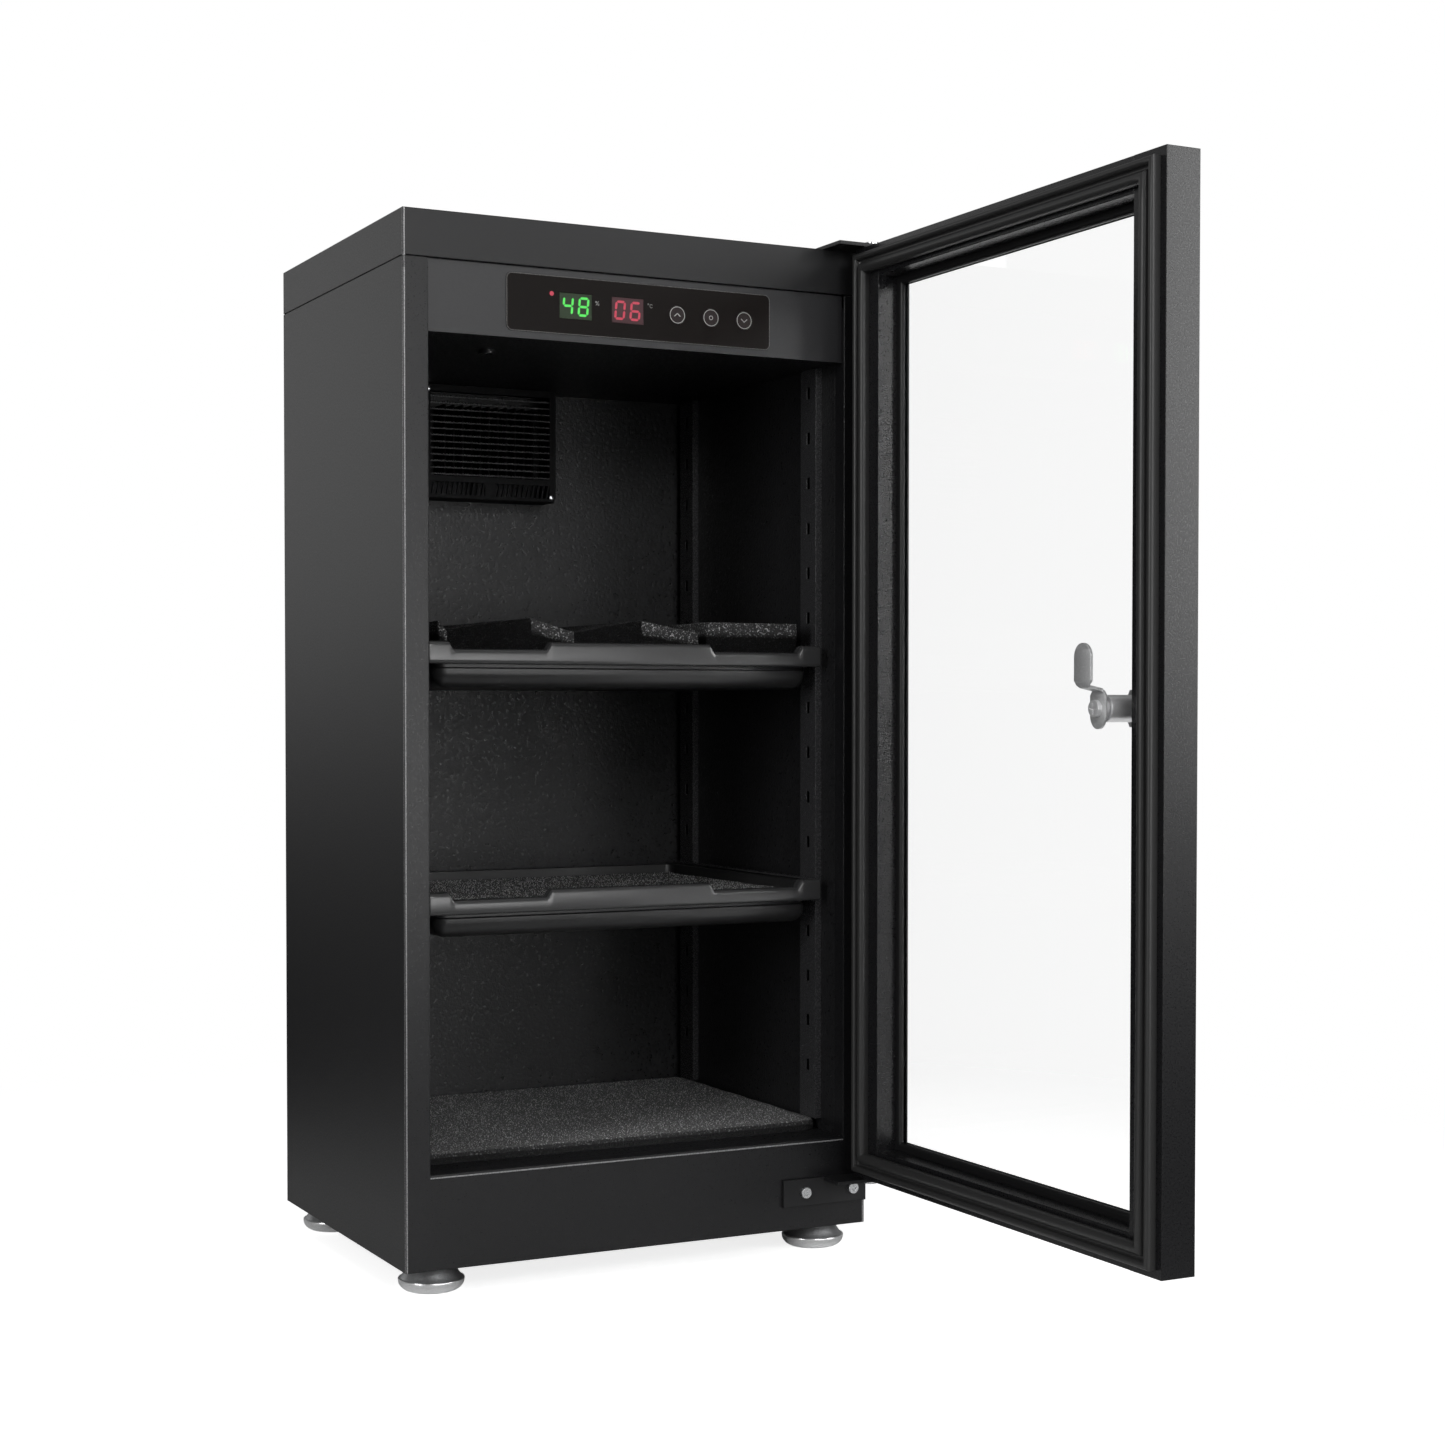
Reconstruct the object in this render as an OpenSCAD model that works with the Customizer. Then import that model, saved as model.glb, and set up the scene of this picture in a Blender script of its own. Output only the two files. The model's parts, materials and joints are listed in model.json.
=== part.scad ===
// Camera dry cabinet: a steel cabinet with a glazed door, two pull-out trays, foam,
// a lit control strip and a small thermoelectric dryer on the back wall.
// Units are millimetres. X runs to the right, Y to the back and Z up. The origin is the
// middle of the body's footprint, on the floor. The door is drawn standing open.

/* [Body] */
// Width of the steel body
body_w = 342; // [300:1:420]
// Depth of the steel body, front plate to back plate
body_d = 256; // [240:1:360]
// Height of the steel body without its feet
body_h = 682; // [600:1:800]
// Thickness of the steel sheet
sheet_t = 1.2; // [0.8:0.1:2]
// Width of each front stile beside the opening
stile_w = 17; // [15:0.5:24]
// Height of the front rail above the opening, which is the front of the top cap
top_rail_h = 30; // [24:1:45]
// Height of the front rail below the opening
bottom_rail_h = 62; // [50:1:80]
// Depth of the edge folded in round the opening
return_d = 13; // [8:0.5:14]
// Width of the folded joining flanges
flange_w = 12; // [8:0.5:14]
// Height of the locating lip inside the top cap, above and below its seam
lip_h = 8; // [5:0.5:14]
// Open seam between the top cap and the panels below it
cap_seam = 0.6; // [0.3:0.1:1.5]
// Height of the base pan's upturned edge
pan_edge_h = 15; // [10:1:25]

/* [Lining] */
// Thickness of the inner lining sheet
liner_t = 1; // [0.7:0.1:1.5]
// Height of the space above the ceiling, behind the control strip
control_h = 47; // [42:0.5:60]
// Width of a slotted upright
upright_w = 22; // [16:0.5:28]
// Depth that an upright stands off the wall
upright_d = 5; // [4:0.25:8]
// Set-back of the front uprights from the front plate
upright_inset = 31; // [28:0.5:45]
// Gap between the rear uprights and the back plate
upright_rear_gap = 8; // [4:0.5:30]
// Height step between two slots
slot_pitch = 32; // [24:1:40]
// Height of a slot
slot_h = 8; // [6:0.5:12]
// Width of a slot
slot_w = 4.5; // [3.5:0.25:7]
// Height of the lowest slot above the inner floor
slot_start = 42; // [30:1:80]

/* [Trays] */
// Height of the upper tray's underside above the inner floor
upper_tray_z = 315; // [220:1:400]
// Height of the lower tray's underside above the inner floor
lower_tray_z = 150; // [60:1:200]
// Total height of a tray
tray_h = 30.5; // [24:0.5:45]
// Wall of a moulded tray
tray_wall = 2.5; // [1.5:0.1:4]
// Gap between the pan and the runners' lips
pan_side_gap = 3; // [2:0.5:12]
// Corner radius of the pan
pan_r = 9; // [5:0.5:20]
// Set-back of the tray's front rail from the front plate
tray_inset = 19.5; // [18.5:0.5:26]
// Height of the tray's front rail
rail_h = 15; // [10:0.5:20]
// Thickness of the tray's front rail, front to back
rail_t = 10; // [7:0.5:12]
// Edge radius of the tray's front rail
rail_r = 3; // [1:0.25:4]
// Length of a finger notch in the front rail
notch_w = 65; // [40:1:70]
// Place of a notch's middle, as a share of the way from the tray's middle to its side
notch_place_share = 0.65; // [0.5:0.01:0.7]
// Depth of a finger notch
notch_h = 5; // [3:0.5:6]
// Slant of a notch's ends
notch_slant = 4; // [1:0.5:8]
// Travel of a tray, pulled out
tray_travel = 170; // [100:5:180]
// Thickness of the runner sheet
runner_t = 1.2; // [0.8:0.1:2]
// Width of a runner's lips
runner_lip = 6; // [4:0.5:9]

/* [Foam] */
// Thickness of the flat foam in the lower tray
flat_foam_t = 20; // [6:0.5:25]
// Thickness of the floor mat
mat_t = 8; // [5:0.5:15]
// Bare floor in front of the mat
mat_inset = 32; // [15:1:60]
// Corner radius of the floor mat
mat_r = 10; // [4:0.5:20]
// Thickness of the wave foam in its troughs
wave_low = 35; // [8:0.5:40]
// Height of a crest above the troughs
wave_rise = 9; // [5:0.5:20]

/* [Door] */
// Width of the door
door_w = 342; // [300:1:420]
// Thickness of the door's frame
door_t = 24; // [20:0.5:30]
// Width of the door's stiles
member_w = 30; // [27:0.5:40]
// Height of the door's rails
member_h = 22; // [21:0.5:30]
// Wall of the hollow door members
member_wall = 1.2; // [0.8:0.1:2]
// Height of the door's lower edge above the body's underside
door_lift = 36.2; // [32:0.2:50]
// Distance from the door's top edge down from the body's top
door_drop = 0.8; // [0.6:0.1:3]
// Gap between the door frame and the body's front, filled by the gasket
door_gap = 7.3; // [6:0.1:10]
// Thickness of the glass
glass_t = 4; // [3:0.5:6]
// Depth of the glass behind the frame's inner face
glass_depth = 18; // [14:0.5:18]
// Overlap of the glass edge in its groove
glass_edge = 6; // [4:0.5:7]
// Width of the gasket
gasket_w = 14; // [12:0.5:14.5]
// Distance of the gasket from the door's edge
gasket_edge = 5; // [4:0.25:5.5]
// Angle by which the door stands open, 0 when shut
door_open = 90; // [88:1:110]

/* [Hinges] */
// Distance of the pivot from the door's hinge edge
pivot_edge = 5; // [4.8:0.1:6]
// Depth of the pivot inside the door's inner face
pivot_depth = 10; // [10:0.25:11]
// Diameter of the hinge pins
hinge_pin_d = 5; // [4:0.25:5]
// Thickness of the hinge plates
hinge_t = 2.5; // [2:0.25:4]
// Width of the lower hinge bracket
bracket_w = 66; // [50:1:80]
// Height of the lower hinge bracket
bracket_h = 19; // [15:0.5:26]
// Width of the upper hinge plate
plate_w = 40; // [30:1:55]
// Depth of the upper hinge plate over the body's top
plate_d = 26; // [20:1:40]

/* [Lock] */
// Distance of the lock's axis from the door's free edge
lock_edge = 44; // [42:0.5:55]
// Height of the lock's axis above the body's underside
lock_z = 363; // [300:1:400]
// Diameter of the lock barrel
barrel_d = 16; // [12:0.5:19]
// Diameter of the lock's plug
plug_d = 11; // [8:0.5:12]
// Width of the cam
cam_w = 16.4; // [12:0.2:20]
// Thickness of the cam
cam_t = 2; // [1.5:0.25:3]
// Length of the cam from the axis to its tip
cam_reach = 38; // [36:0.5:39]
// Length of the cam past the axis
cam_tail = 12; // [9:0.5:14]
// Distance of the cam's foot from the door's inner face
cam_depth = 12; // [10:0.5:14]
// Step of the crank between the cam's foot and its tongue
cam_step = 11; // [9:0.5:11]

/* [Control strip] */
// Thickness of the control fascia
fascia_t = 2.5; // [2:0.1:4]
// Set-back of the fascia from the front plate
fascia_inset = 3; // [1:0.5:6]
// Width of the display window
window_w = 195; // [170:1:220]
// Height of the display window
window_h = 37.6; // [34:0.2:40]
// Thickness of the display window
window_t = 2; // [1.5:0.1:3]
// Height that the display window stands off the fascia
window_proud = 0.5; // [0.2:0.1:1]
// Corner radius of the display window
window_r = 4; // [1:0.5:8]
// Width of a two-digit display
digits_w = 25; // [20:0.5:30]
// Height of a two-digit display
digits_h = 19; // [15:0.5:22]
// Depth of a two-digit display
digits_d = 8; // [6:0.5:10]
// Diameter of a button
button_d = 12; // [9:0.25:14]
// Travel of a button
button_travel = 0.5; // [0.3:0.05:0.8]

/* [Dryer] */
// Width of the dryer's inner housing
dryer_w = 106; // [90:1:130]
// Height of the dryer's inner housing
dryer_h = 84; // [70:1:110]
// Depth of the dryer's inner housing
dryer_d = 28; // [20:1:40]
// Offset of the dryer from the middle, negative to the left
dryer_x = -20; // [-60:1:60]
// Number of louvre slots in the dryer's grille
louvre_count = 13; // [6:1:14]
// Width of the rear vent cover
vent_w = 116; // [100:1:140]
// Height of the rear vent cover
vent_h = 110; // [90:1:140]
// Depth of the rear vent cover
vent_d = 24; // [18:1:40]

/* [Feet] */
// Height of a foot, floor to body
foot_h = 18; // [14:0.5:30]
// Largest diameter of a foot
foot_d = 44; // [34:1:50]
// Diameter of a foot where it meets the body
foot_top_d = 29; // [22:1:34]
// Diameter of a foot where it meets the floor
foot_pad_d = 31; // [20:1:34]
// Distance of the feet from the body's sides
foot_side = 27; // [24:0.5:40]
// Distance of the feet from the body's front and back
foot_front = 26; // [24:0.5:40]
// Diameter of the foot's thread
stud_d = 8; // [6:1:10]
// Travel of a foot, screwed out
foot_travel = 8; // [4:1:10]

/* [Hidden] */
$fn = 64;

// Small clearances and shared sizes
overrun = 1;
fit = 0.3;
slide_fit = 0.6;
turn_fit = 0.1;
touch = 0.1;
fastener_fit = 0.2;
nut_h = 8;
nut_across = 14;

// Levels and planes of the body
body_z0 = foot_h;
body_z1 = foot_h + body_h;
x_side = body_w / 2;
y_front = -body_d / 2;
y_back = body_d / 2;
open_x = x_side - stile_w;
open_z0 = body_z0 + bottom_rail_h;
open_z1 = body_z1 - top_rail_h;
ceiling_z = open_z1 - control_h;
liner_y0 = y_front + return_d;
liner_y1 = y_back - sheet_t;

// Uprights, runners and trays
upright_x = open_x - upright_d;
upright_t = liner_t;
upright_z0 = open_z0 + mat_t + fit;
upright_z1 = ceiling_z - fit;
upright_front_y = y_front + upright_inset;
upright_rear_y = liner_y1 - upright_rear_gap - upright_w;
slot_count = floor((upright_z1 - open_z0 - slot_start) / slot_pitch);
tray_x = upright_x - runner_t - slide_fit;
rail_x = tray_x + fit;
runner_gap = tray_wall + slide_fit;
runner_y0 = y_front + tray_inset + rail_t + slide_fit;
runner_y1 = upright_rear_y + upright_w;
hook_d = 3;
tray_y0 = y_front + tray_inset;
pan_w = 2 * (upright_x - runner_lip - pan_side_gap);
notch_x = rail_x * notch_place_share;
pan_gap = 6.5;
pan_y0 = tray_y0 + pan_gap;
pan_y1 = liner_y1 - dryer_d / 2;
tray_rim_drop = 1.5;
upper_z = open_z0 + upper_tray_z;
lower_z = open_z0 + lower_tray_z;
rim_top = tray_h - tray_rim_drop;
rail_z0 = tray_h - rail_h;

// Foam: places across the pan and heights of the wave's troughs and crests
wave_points = 6;
wave_shares = [[0, 1], [0.025, 0.1], [0.243, 1], [0.363, 0.05], [0.54, 0.95], [0.715, 0.1]];
block_start_share = 0.725;

// Door, drawn shut and then turned about its pivot
door_z0 = body_z0 + door_lift;
door_z1 = body_z1 - door_drop;
door_inner_y = y_front - door_gap;
door_outer_y = door_inner_y - door_t;
door_x1 = x_side;
door_x0 = door_x1 - door_w;
door_h = door_z1 - door_z0;
pivot_x = door_x1 - pivot_edge;
pivot_y = door_inner_y - pivot_depth;
groove_fit = 0.3;
groove_depth = glass_edge + groove_fit;
gasket_h = door_gap - fit;
gasket_ridge_r = 2.2;
gasket_ridges = 3;
gasket_points = 8;
bush_wall = 1.1;
bush_d = hinge_pin_d + 2 * turn_fit + 2 * bush_wall;
bush_flange_d = 13;
bush_flange_t = door_drop - touch;
block_h = 16;
block_gap = 0.1;
bracket_z1 = door_z0 - bush_flange_t - touch;
pin_head_t = 1.5;
pin_head_d = 10;
pin_reach = 12;
hinge_tip_r = 5.5;
screw_d = 4;
screw_head_d = 7.6;
screw_head_t = 2.4;
screw_len = 8;
screw_slot = 1.1;
screw_edge = 11;
screw_step = 38;

// Lock
lock_x = door_x0 + lock_edge;
lock_axis_z = body_z0 + lock_z;
glass_inner_y = door_inner_y - glass_depth;
glass_outer_y = glass_inner_y - glass_t;
barrel_inner = 9;
barrel_head_d = 23;
barrel_head_t = 2.2;
barrel_nut_t = 4;
barrel_nut_across = 22;
drive_w = 7;
drive_fit = 0.1;
key_slot_w = 1.6;
key_slot_h = 7;
key_slot_d = 6;
tongue_y = door_inner_y + cam_depth + cam_step;
strike_gap = 2.5;
cam_screw_d = 4;
cam_screw_head_d = 10;
cam_screw_head_t = 3;
cam_screw_len = 8;
crank_rise = 5;
crank_start = 11;

// Control strip, measured back from the fascia's front face
fascia_y = y_front + fascia_inset;
fascia_z = (ceiling_z + open_z1) / 2;
window_x = -1.5;
window_y0 = fascia_y - window_proud;
window_y1 = window_y0 + window_t;
window_rim = 4.5;
green_left = 48.2;
green_x = window_x - green_left;
red_left = 10.3;
red_x = window_x - red_left;
digits_face_w = 23.2;
digits_face_h = 16.8;
digits_set = 0.2;
board_t = 1.6;
board_w = 214;
board_h = 34;
board_y = window_y1 + touch + digits_d;
pillar_d = 6;
pillar_x = 102;
pillar_z = 12;
button_x = [26.5, 52, 77.5];
button_flange_d = 14.5;
button_flange_t = 0.8;
button_stem_d = 3.5;
button_proud = 0.2;
button_rest_gap = 0.15;
switch_w = 6;
switch_t = 3.2;
switch_knob = 0.8;
led_d = 3;
led_left = 65.4;
led_x = window_x - led_left;
led_up = 7.2;
led_z = fascia_z + led_up;
led_base = 4.5;
led_base_t = 3;
connector = [16, 9, 8];
sensor_d = 12;
sensor_t = 3;
sensor_slot = 1.4;
sensor_x = -90;
sensor_back = 60;
sensor_y = y_front + sensor_back;

// Dryer
dryer_z1 = ceiling_z - 2 * fit;
dryer_z0 = dryer_z1 - dryer_h;
dryer_y0 = liner_y1 - dryer_d;
dryer_wall = 2;
grille_t = 2.2;
grille_rim = 6;
fin_strip_h = 12;
louvre_gap_share = 0.55;
slant_count = 22;
slant_lean = 3;
module_w = 40;
module_t = 4;
cold_w = 72;
cold_h = 56;
cold_base = 4;
fin_t = 1.4;
cold_fin_count = 11;
hot_w = 84;
hot_h = 80;
hot_fin_count = 14;
hot_base = 4;
vent_wall = 2;
vent_slot_count = 10;
vent_gap = 4;
inlet_x = 110;
inlet_z = ceiling_z + control_h / 2;
inlet_d = 11;
inlet_flange_d = 15;
inlet_len = 14;
inlet_bore_d = 5.6;
inlet_pin_d = 2;
inlet_depth = 9;

// Feet
foot_x = x_side - foot_side;
foot_y = body_d / 2 - foot_front;
foot_waist_share = 0.56;
foot_rim_share = 0.36;
foot_step = 0.6;
stud_len = 14;

// Where the screws of the back plate sit
back_screw_rows = 4;
back_screw_edge = 8;

steel = "#1c1d1f";
lining = "#161718";
plastic = "#2c2d2f";

// A box between two corners
module block(low, high) {
    translate(low) cube(high - low);
}

// A flat outline drawn in X and Z, carried from one Y to another
module along_y(from_y, to_y) {
    translate([0, to_y, 0]) rotate([90, 0, 0]) linear_extrude(to_y - from_y) children();
}

// A flat outline drawn in Y and Z, carried from one X to another
module along_x(from_x, to_x) {
    translate([from_x, 0, 0]) rotate([90, 0, 90]) linear_extrude(to_x - from_x) children();
}

// A flat outline drawn in X and Y, carried from one Z to another
module along_z(from_z, to_z) {
    translate([0, 0, from_z]) linear_extrude(to_z - from_z) children();
}

// A rod that lies along Y
module rod_y(d, x, z, from_y, to_y) {
    translate([x, to_y, z]) rotate([90, 0, 0]) cylinder(d = d, h = to_y - from_y);
}

// A rod that stands along Z
module rod_z(d, x, y, from_z, to_z) {
    translate([x, y, from_z]) cylinder(d = d, h = to_z - from_z);
}

// A rectangle between two corners with round corners
module round_rect(low, high, r) {
    size = high - low;
    translate([low.x + r, low.y]) square([size.x - 2 * r, size.y]);
    translate([low.x, low.y + r]) square([size.x, size.y - 2 * r]);
    for (x = [low.x + r, high.x - r], y = [low.y + r, high.y - r])
        translate([x, y]) circle(r);
}

// A hexagon by its width across flats
module hexagon(across) {
    circle(d = across / cos(30), $fn = 6);
}

// The left or right copy of a right-hand piece
module on_side(side) {
    mirror([side < 0 ? 1 : 0, 0, 0]) children();
}

// The door's place in the drawing: shut geometry turned open about its pivot
module door_place() {
    translate([pivot_x, pivot_y, 0]) rotate([0, 0, door_open]) translate([-pivot_x, -pivot_y, 0])
        children();
}

module side_panel(side) {
    color(steel) on_side(side) difference() {
        union() {
            block([x_side - sheet_t, y_front + sheet_t, body_z0],
                  [x_side, liner_y1, open_z1 - cap_seam]);
            block([x_side - flange_w, liner_y1 - sheet_t, body_z0 + sheet_t],
                  [x_side, liner_y1, open_z1 - cap_seam - lip_h - fit]);
        }
        back_screw_places()
            rod_y(screw_d + fastener_fit, 0, 0, -2 * sheet_t - overrun, overrun);
    }
}

module back_screw_places() {
    rise = open_z1 - body_z0 - 2 * flange_w;
    for (side = [-1, 1], row = [0 : back_screw_rows - 1])
        translate([side * (x_side - back_screw_edge), y_back,
                   body_z0 + flange_w + row * rise / (back_screw_rows - 1)])
            children();
}

module back_panel() {
    color(steel) difference() {
        block([-x_side, liner_y1, body_z0], [x_side, y_back, open_z1 - cap_seam]);
        translate([dryer_x, 0, (dryer_z0 + dryer_z1) / 2])
            block([-module_w / 2 - fit, liner_y1 - overrun, -module_w / 2 - fit],
                  [module_w / 2 + fit, y_back + overrun, module_w / 2 + fit]);
        rod_y(inlet_d + fastener_fit, inlet_x, inlet_z, liner_y1 - overrun, y_back + overrun);
        back_screw_places()
            rod_y(screw_d + fastener_fit, 0, 0, -sheet_t - overrun, overrun);
    }
}

module foot_places() {
    for (x = [-foot_x, foot_x], y = [-foot_y, foot_y])
        translate([x, y, 0]) children();
}

module base_pan() {
    pan_x = x_side - sheet_t;
    edge_z = body_z0 + pan_edge_h;
    color(steel) difference() {
        union() {
            block([-pan_x, y_front + sheet_t, body_z0], [pan_x, liner_y1, body_z0 + sheet_t]);
            for (side = [-1, 1])
                on_side(side)
                    block([pan_x - sheet_t, y_front + flange_w + fit, body_z0],
                          [pan_x, liner_y1 - sheet_t - fit, edge_z]);
            block([-open_x + fit, y_front + sheet_t, body_z0],
                  [open_x - fit, y_front + 2 * sheet_t, edge_z]);
            block([flange_w + fit - x_side, liner_y1 - sheet_t, body_z0],
                  [x_side - flange_w - fit, liner_y1, edge_z]);
        }
        foot_places()
            rod_z(stud_d + 2 * fit, 0, 0, body_z0 - overrun, body_z0 + sheet_t + overrun);
    }
}

// A plate round the opening's sides and foot, wider and lower than it by the given amounts
module opening_surround(side, below, top_z) {
    difference() {
        translate([-open_x - side, open_z0 - below])
            square([2 * (open_x + side), top_z - open_z0 + below]);
        translate([-open_x, open_z0]) square([2 * open_x, top_z - open_z0 + overrun]);
    }
}

// Where the two screws of the lower hinge bracket sit
module bracket_screw_places() {
    for (x = [x_side - screw_edge, x_side - screw_edge - screw_step])
        translate([x, 0, bracket_z1 - bracket_h / 2]) children();
}

module front_frame() {
    fold_z1 = open_z1 - cap_seam - lip_h - fit;
    color(steel) difference() {
        union() {
            along_y(y_front, y_front + sheet_t)
                opening_surround(stile_w, bottom_rail_h, open_z1 - cap_seam);
            along_y(y_front, liner_y0) opening_surround(sheet_t, sheet_t, fold_z1);
            for (side = [-1, 1])
                on_side(side)
                    block([x_side - 2 * sheet_t, y_front, body_z0 + sheet_t],
                          [x_side - sheet_t, y_front + flange_w, fold_z1]);
        }
        bracket_screw_places()
            rod_y(screw_d + fastener_fit, 0, 0, y_front - overrun, y_front + sheet_t + overrun);
    }
}

// Where the two screws of the upper hinge plate sit
module plate_screw_places() {
    for (x = [pivot_x, pivot_x - plate_w + 2 * screw_edge])
        translate([x, y_front + plate_d / 2, 0]) children();
}

module top_cap() {
    lip_z0 = open_z1 - lip_h;
    lip_z1 = open_z1 + lip_h;
    color(steel) difference() {
        union() {
            block([-x_side, y_front, body_z1 - sheet_t], [x_side, y_back, body_z1]);
            block([-x_side, y_front, open_z1], [x_side, y_front + sheet_t, body_z1]);
            block([-x_side, liner_y1, open_z1], [x_side, y_back, body_z1]);
            block([-open_x, y_front, open_z1], [open_x, liner_y0, open_z1 + sheet_t]);
            block([flange_w + fit - x_side, liner_y1 - sheet_t, lip_z0],
                  [-open_x - liner_t - fit, liner_y1, lip_z1]);
            block([open_x + liner_t + fit, liner_y1 - sheet_t, lip_z0],
                  [x_side - flange_w - fit, liner_y1, lip_z1]);
            for (side = [-1, 1])
                on_side(side) {
                    block([x_side - sheet_t, y_front, open_z1], [x_side, y_back, body_z1]);
                    block([x_side - 2 * sheet_t, y_front + sheet_t, lip_z0],
                          [x_side - sheet_t, liner_y1, lip_z1]);
                }
        }
        plate_screw_places()
            rod_z(screw_d + fastener_fit, 0, 0, body_z1 - sheet_t - overrun, body_z1 + overrun);
    }
}

module inner_liner() {
    wall_x = open_x + liner_t;
    color(lining) difference() {
        along_y(liner_y0, liner_y1) {
            for (x = [-wall_x, open_x])
                translate([x, open_z0 - liner_t]) square([liner_t, open_z1 - open_z0 + liner_t]);
            translate([-wall_x, open_z0 - liner_t]) square([2 * wall_x, liner_t]);
        }
        block([-wall_x - overrun, liner_y0 - overrun, lock_axis_z - cam_w],
              [-open_x + overrun, tongue_y + cam_t + strike_gap, lock_axis_z + cam_reach]);
    }
}

module ceiling_panel() {
    edge_x = open_x - touch;
    color(lining) difference() {
        union() {
            block([-edge_x, fascia_y + fascia_t, ceiling_z], [edge_x, liner_y1, ceiling_z + liner_t]);
            for (side = [-1, 1])
                on_side(side)
                    block([edge_x - liner_t, liner_y0, ceiling_z],
                          [edge_x, liner_y1, ceiling_z + flange_w]);
        }
        rod_z(sensor_d - 4 * fit, sensor_x, sensor_y, ceiling_z - overrun,
              ceiling_z + liner_t + overrun);
    }
}

// A slotted upright on the right-hand wall, its front edge at Y zero
module upright(side, y) {
    wide = upright_w;
    color(steel) on_side(side) translate([0, y, 0]) difference() {
        along_z(upright_z0, upright_z1) {
            translate([upright_x, 0]) square([upright_t, wide]);
            for (edge = [0, wide - upright_t])
                translate([upright_x, edge]) square([upright_d, upright_t]);
        }
        for (n = [0 : slot_count])
            block([upright_x - overrun, (wide - slot_w) / 2, open_z0 + slot_start + n * slot_pitch],
                  [upright_x + upright_t + overrun, (wide + slot_w) / 2,
                   open_z0 + slot_start + n * slot_pitch + slot_h]);
    }
}

// The height of the slot nearest to a level, so that a runner hangs in real slots
function slot_near(level) =
    let (n = round((level - open_z0 - slot_start) / slot_pitch))
    open_z0 + slot_start + min(max(n, 0), slot_count) * slot_pitch;

// The two channels of a tray, each with two hooks in the uprights' slots
module runners(tray_z) {
    seat = tray_z + rim_top - tray_wall;
    hook_z = slot_near(seat) + fit;
    low = min(seat - runner_t, hook_z);
    high = max(seat + runner_gap + runner_t, hook_z + slot_h - 2 * fit);
    web_x = upright_x - runner_t;
    color(steel) for (side = [-1, 1]) on_side(side) {
        along_y(runner_y0, runner_y1) {
            translate([web_x, low]) square([runner_t, high - low]);
            translate([upright_x - runner_lip, seat - runner_t]) square([runner_lip, runner_t]);
            translate([upright_x - runner_lip, seat + runner_gap]) square([runner_lip, runner_t]);
        }
        for (y = [upright_front_y, upright_rear_y])
            translate([0, y + upright_w / 2, hook_z])
                block([web_x, fit - slot_w / 2, 0],
                      [upright_x + hook_d, slot_w / 2 - fit, slot_h - 2 * fit]);
    }
}

// The rounded outline of a tray's front rail, seen from the side
module rail_outline() {
    round_rect([tray_y0, rail_z0], [tray_y0 + rail_t, tray_h], rail_r);
}

// The outline of one finger notch, seen from the front
module notch_outline() {
    half = notch_w / 2;
    polygon([[-half, tray_h - notch_h], [half, tray_h - notch_h],
             [half + notch_slant, tray_h + overrun], [-half - notch_slant, tray_h + overrun]]);
}

module tray(z) {
    half = pan_w / 2;
    color(plastic) translate([0, 0, z]) difference() {
        union() {
            along_x(-rail_x, rail_x) rail_outline();
            along_z(0, rim_top) round_rect([-half, pan_y0], [half, pan_y1], pan_r);
            block([-tray_x, tray_y0 + rail_t - rail_r, rim_top - tray_wall],
                  [tray_x, pan_y1 + tray_wall, rim_top]);
        }
        along_z(tray_wall, tray_h + overrun)
            round_rect([-half + tray_wall, tray_y0 + rail_t + fit], [half - tray_wall, pan_y1 - tray_wall],
                       pan_r - tray_wall);
        for (x = [-notch_x, notch_x])
            translate([x, 0, 0]) along_y(tray_y0 - overrun, tray_y0 + rail_t + overrun) notch_outline();
    }
}

// The inside of the pan, less the room that the foam leaves at its walls
function foam_x() = pan_w / 2 - tray_wall - fit;
function foam_y0() = tray_y0 + rail_t + 2 * fit;
function foam_y1() = pan_y1 - tray_wall - fit;

module flat_foam() {
    color("#3a3b3d") along_z(lower_z + tray_wall + touch, lower_z + tray_wall + touch + flat_foam_t)
        round_rect([-foam_x(), foam_y0()], [foam_x(), foam_y1()], pan_r - tray_wall);
}

// The pan's hollow seen from above, cut to a stretch of its width
module foam_plan(from_share, to_share) {
    wide = 2 * foam_x();
    intersection() {
        round_rect([-foam_x(), foam_y0()], [foam_x(), foam_y1()], pan_r - tray_wall);
        translate([wide * from_share - foam_x(), foam_y0()])
            square([wide * (to_share - from_share), foam_y1() - foam_y0()]);
    }
}

// The wave's outline, eased from each trough to the next crest and back
module wave_outline() {
    wide = 2 * foam_x();
    base = upper_z + tray_wall + touch;
    last = len(wave_shares) - 1;
    top = [for (n = [0 : last - 1], k = [0 : wave_points - 1])
        let (ease = (1 - cos(180 * k / wave_points)) / 2,
             at = wave_shares[n] + (wave_shares[n + 1] - wave_shares[n]) * k / wave_points,
             up = wave_shares[n][1] + (wave_shares[n + 1][1] - wave_shares[n][1]) * ease)
        [wide * at[0] - foam_x(), base + wave_low + wave_rise * up]];
    end = [wide * wave_shares[last][0] - foam_x(), base + wave_low + wave_rise * wave_shares[last][1]];
    polygon(concat([[-foam_x(), base]], top, [end, [end[0], base]]));
}

module wave_foam() {
    color("#3a3b3d") intersection() {
        along_y(foam_y0(), foam_y1()) wave_outline();
        along_z(upper_z, upper_z + 2 * tray_h) foam_plan(0, wave_shares[len(wave_shares) - 1][0]);
    }
}

module foam_block() {
    base = upper_z + tray_wall + touch;
    color("#3a3b3d") along_z(base, base + wave_low + wave_rise) foam_plan(block_start_share, 1);
}

module floor_mat() {
    mat_x = open_x - 2 * slide_fit;
    color("#3a3b3d") along_z(open_z0 + touch, open_z0 + mat_t)
        round_rect([-mat_x, y_front + mat_inset], [mat_x, liner_y1 - slide_fit], mat_r);
}

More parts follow.
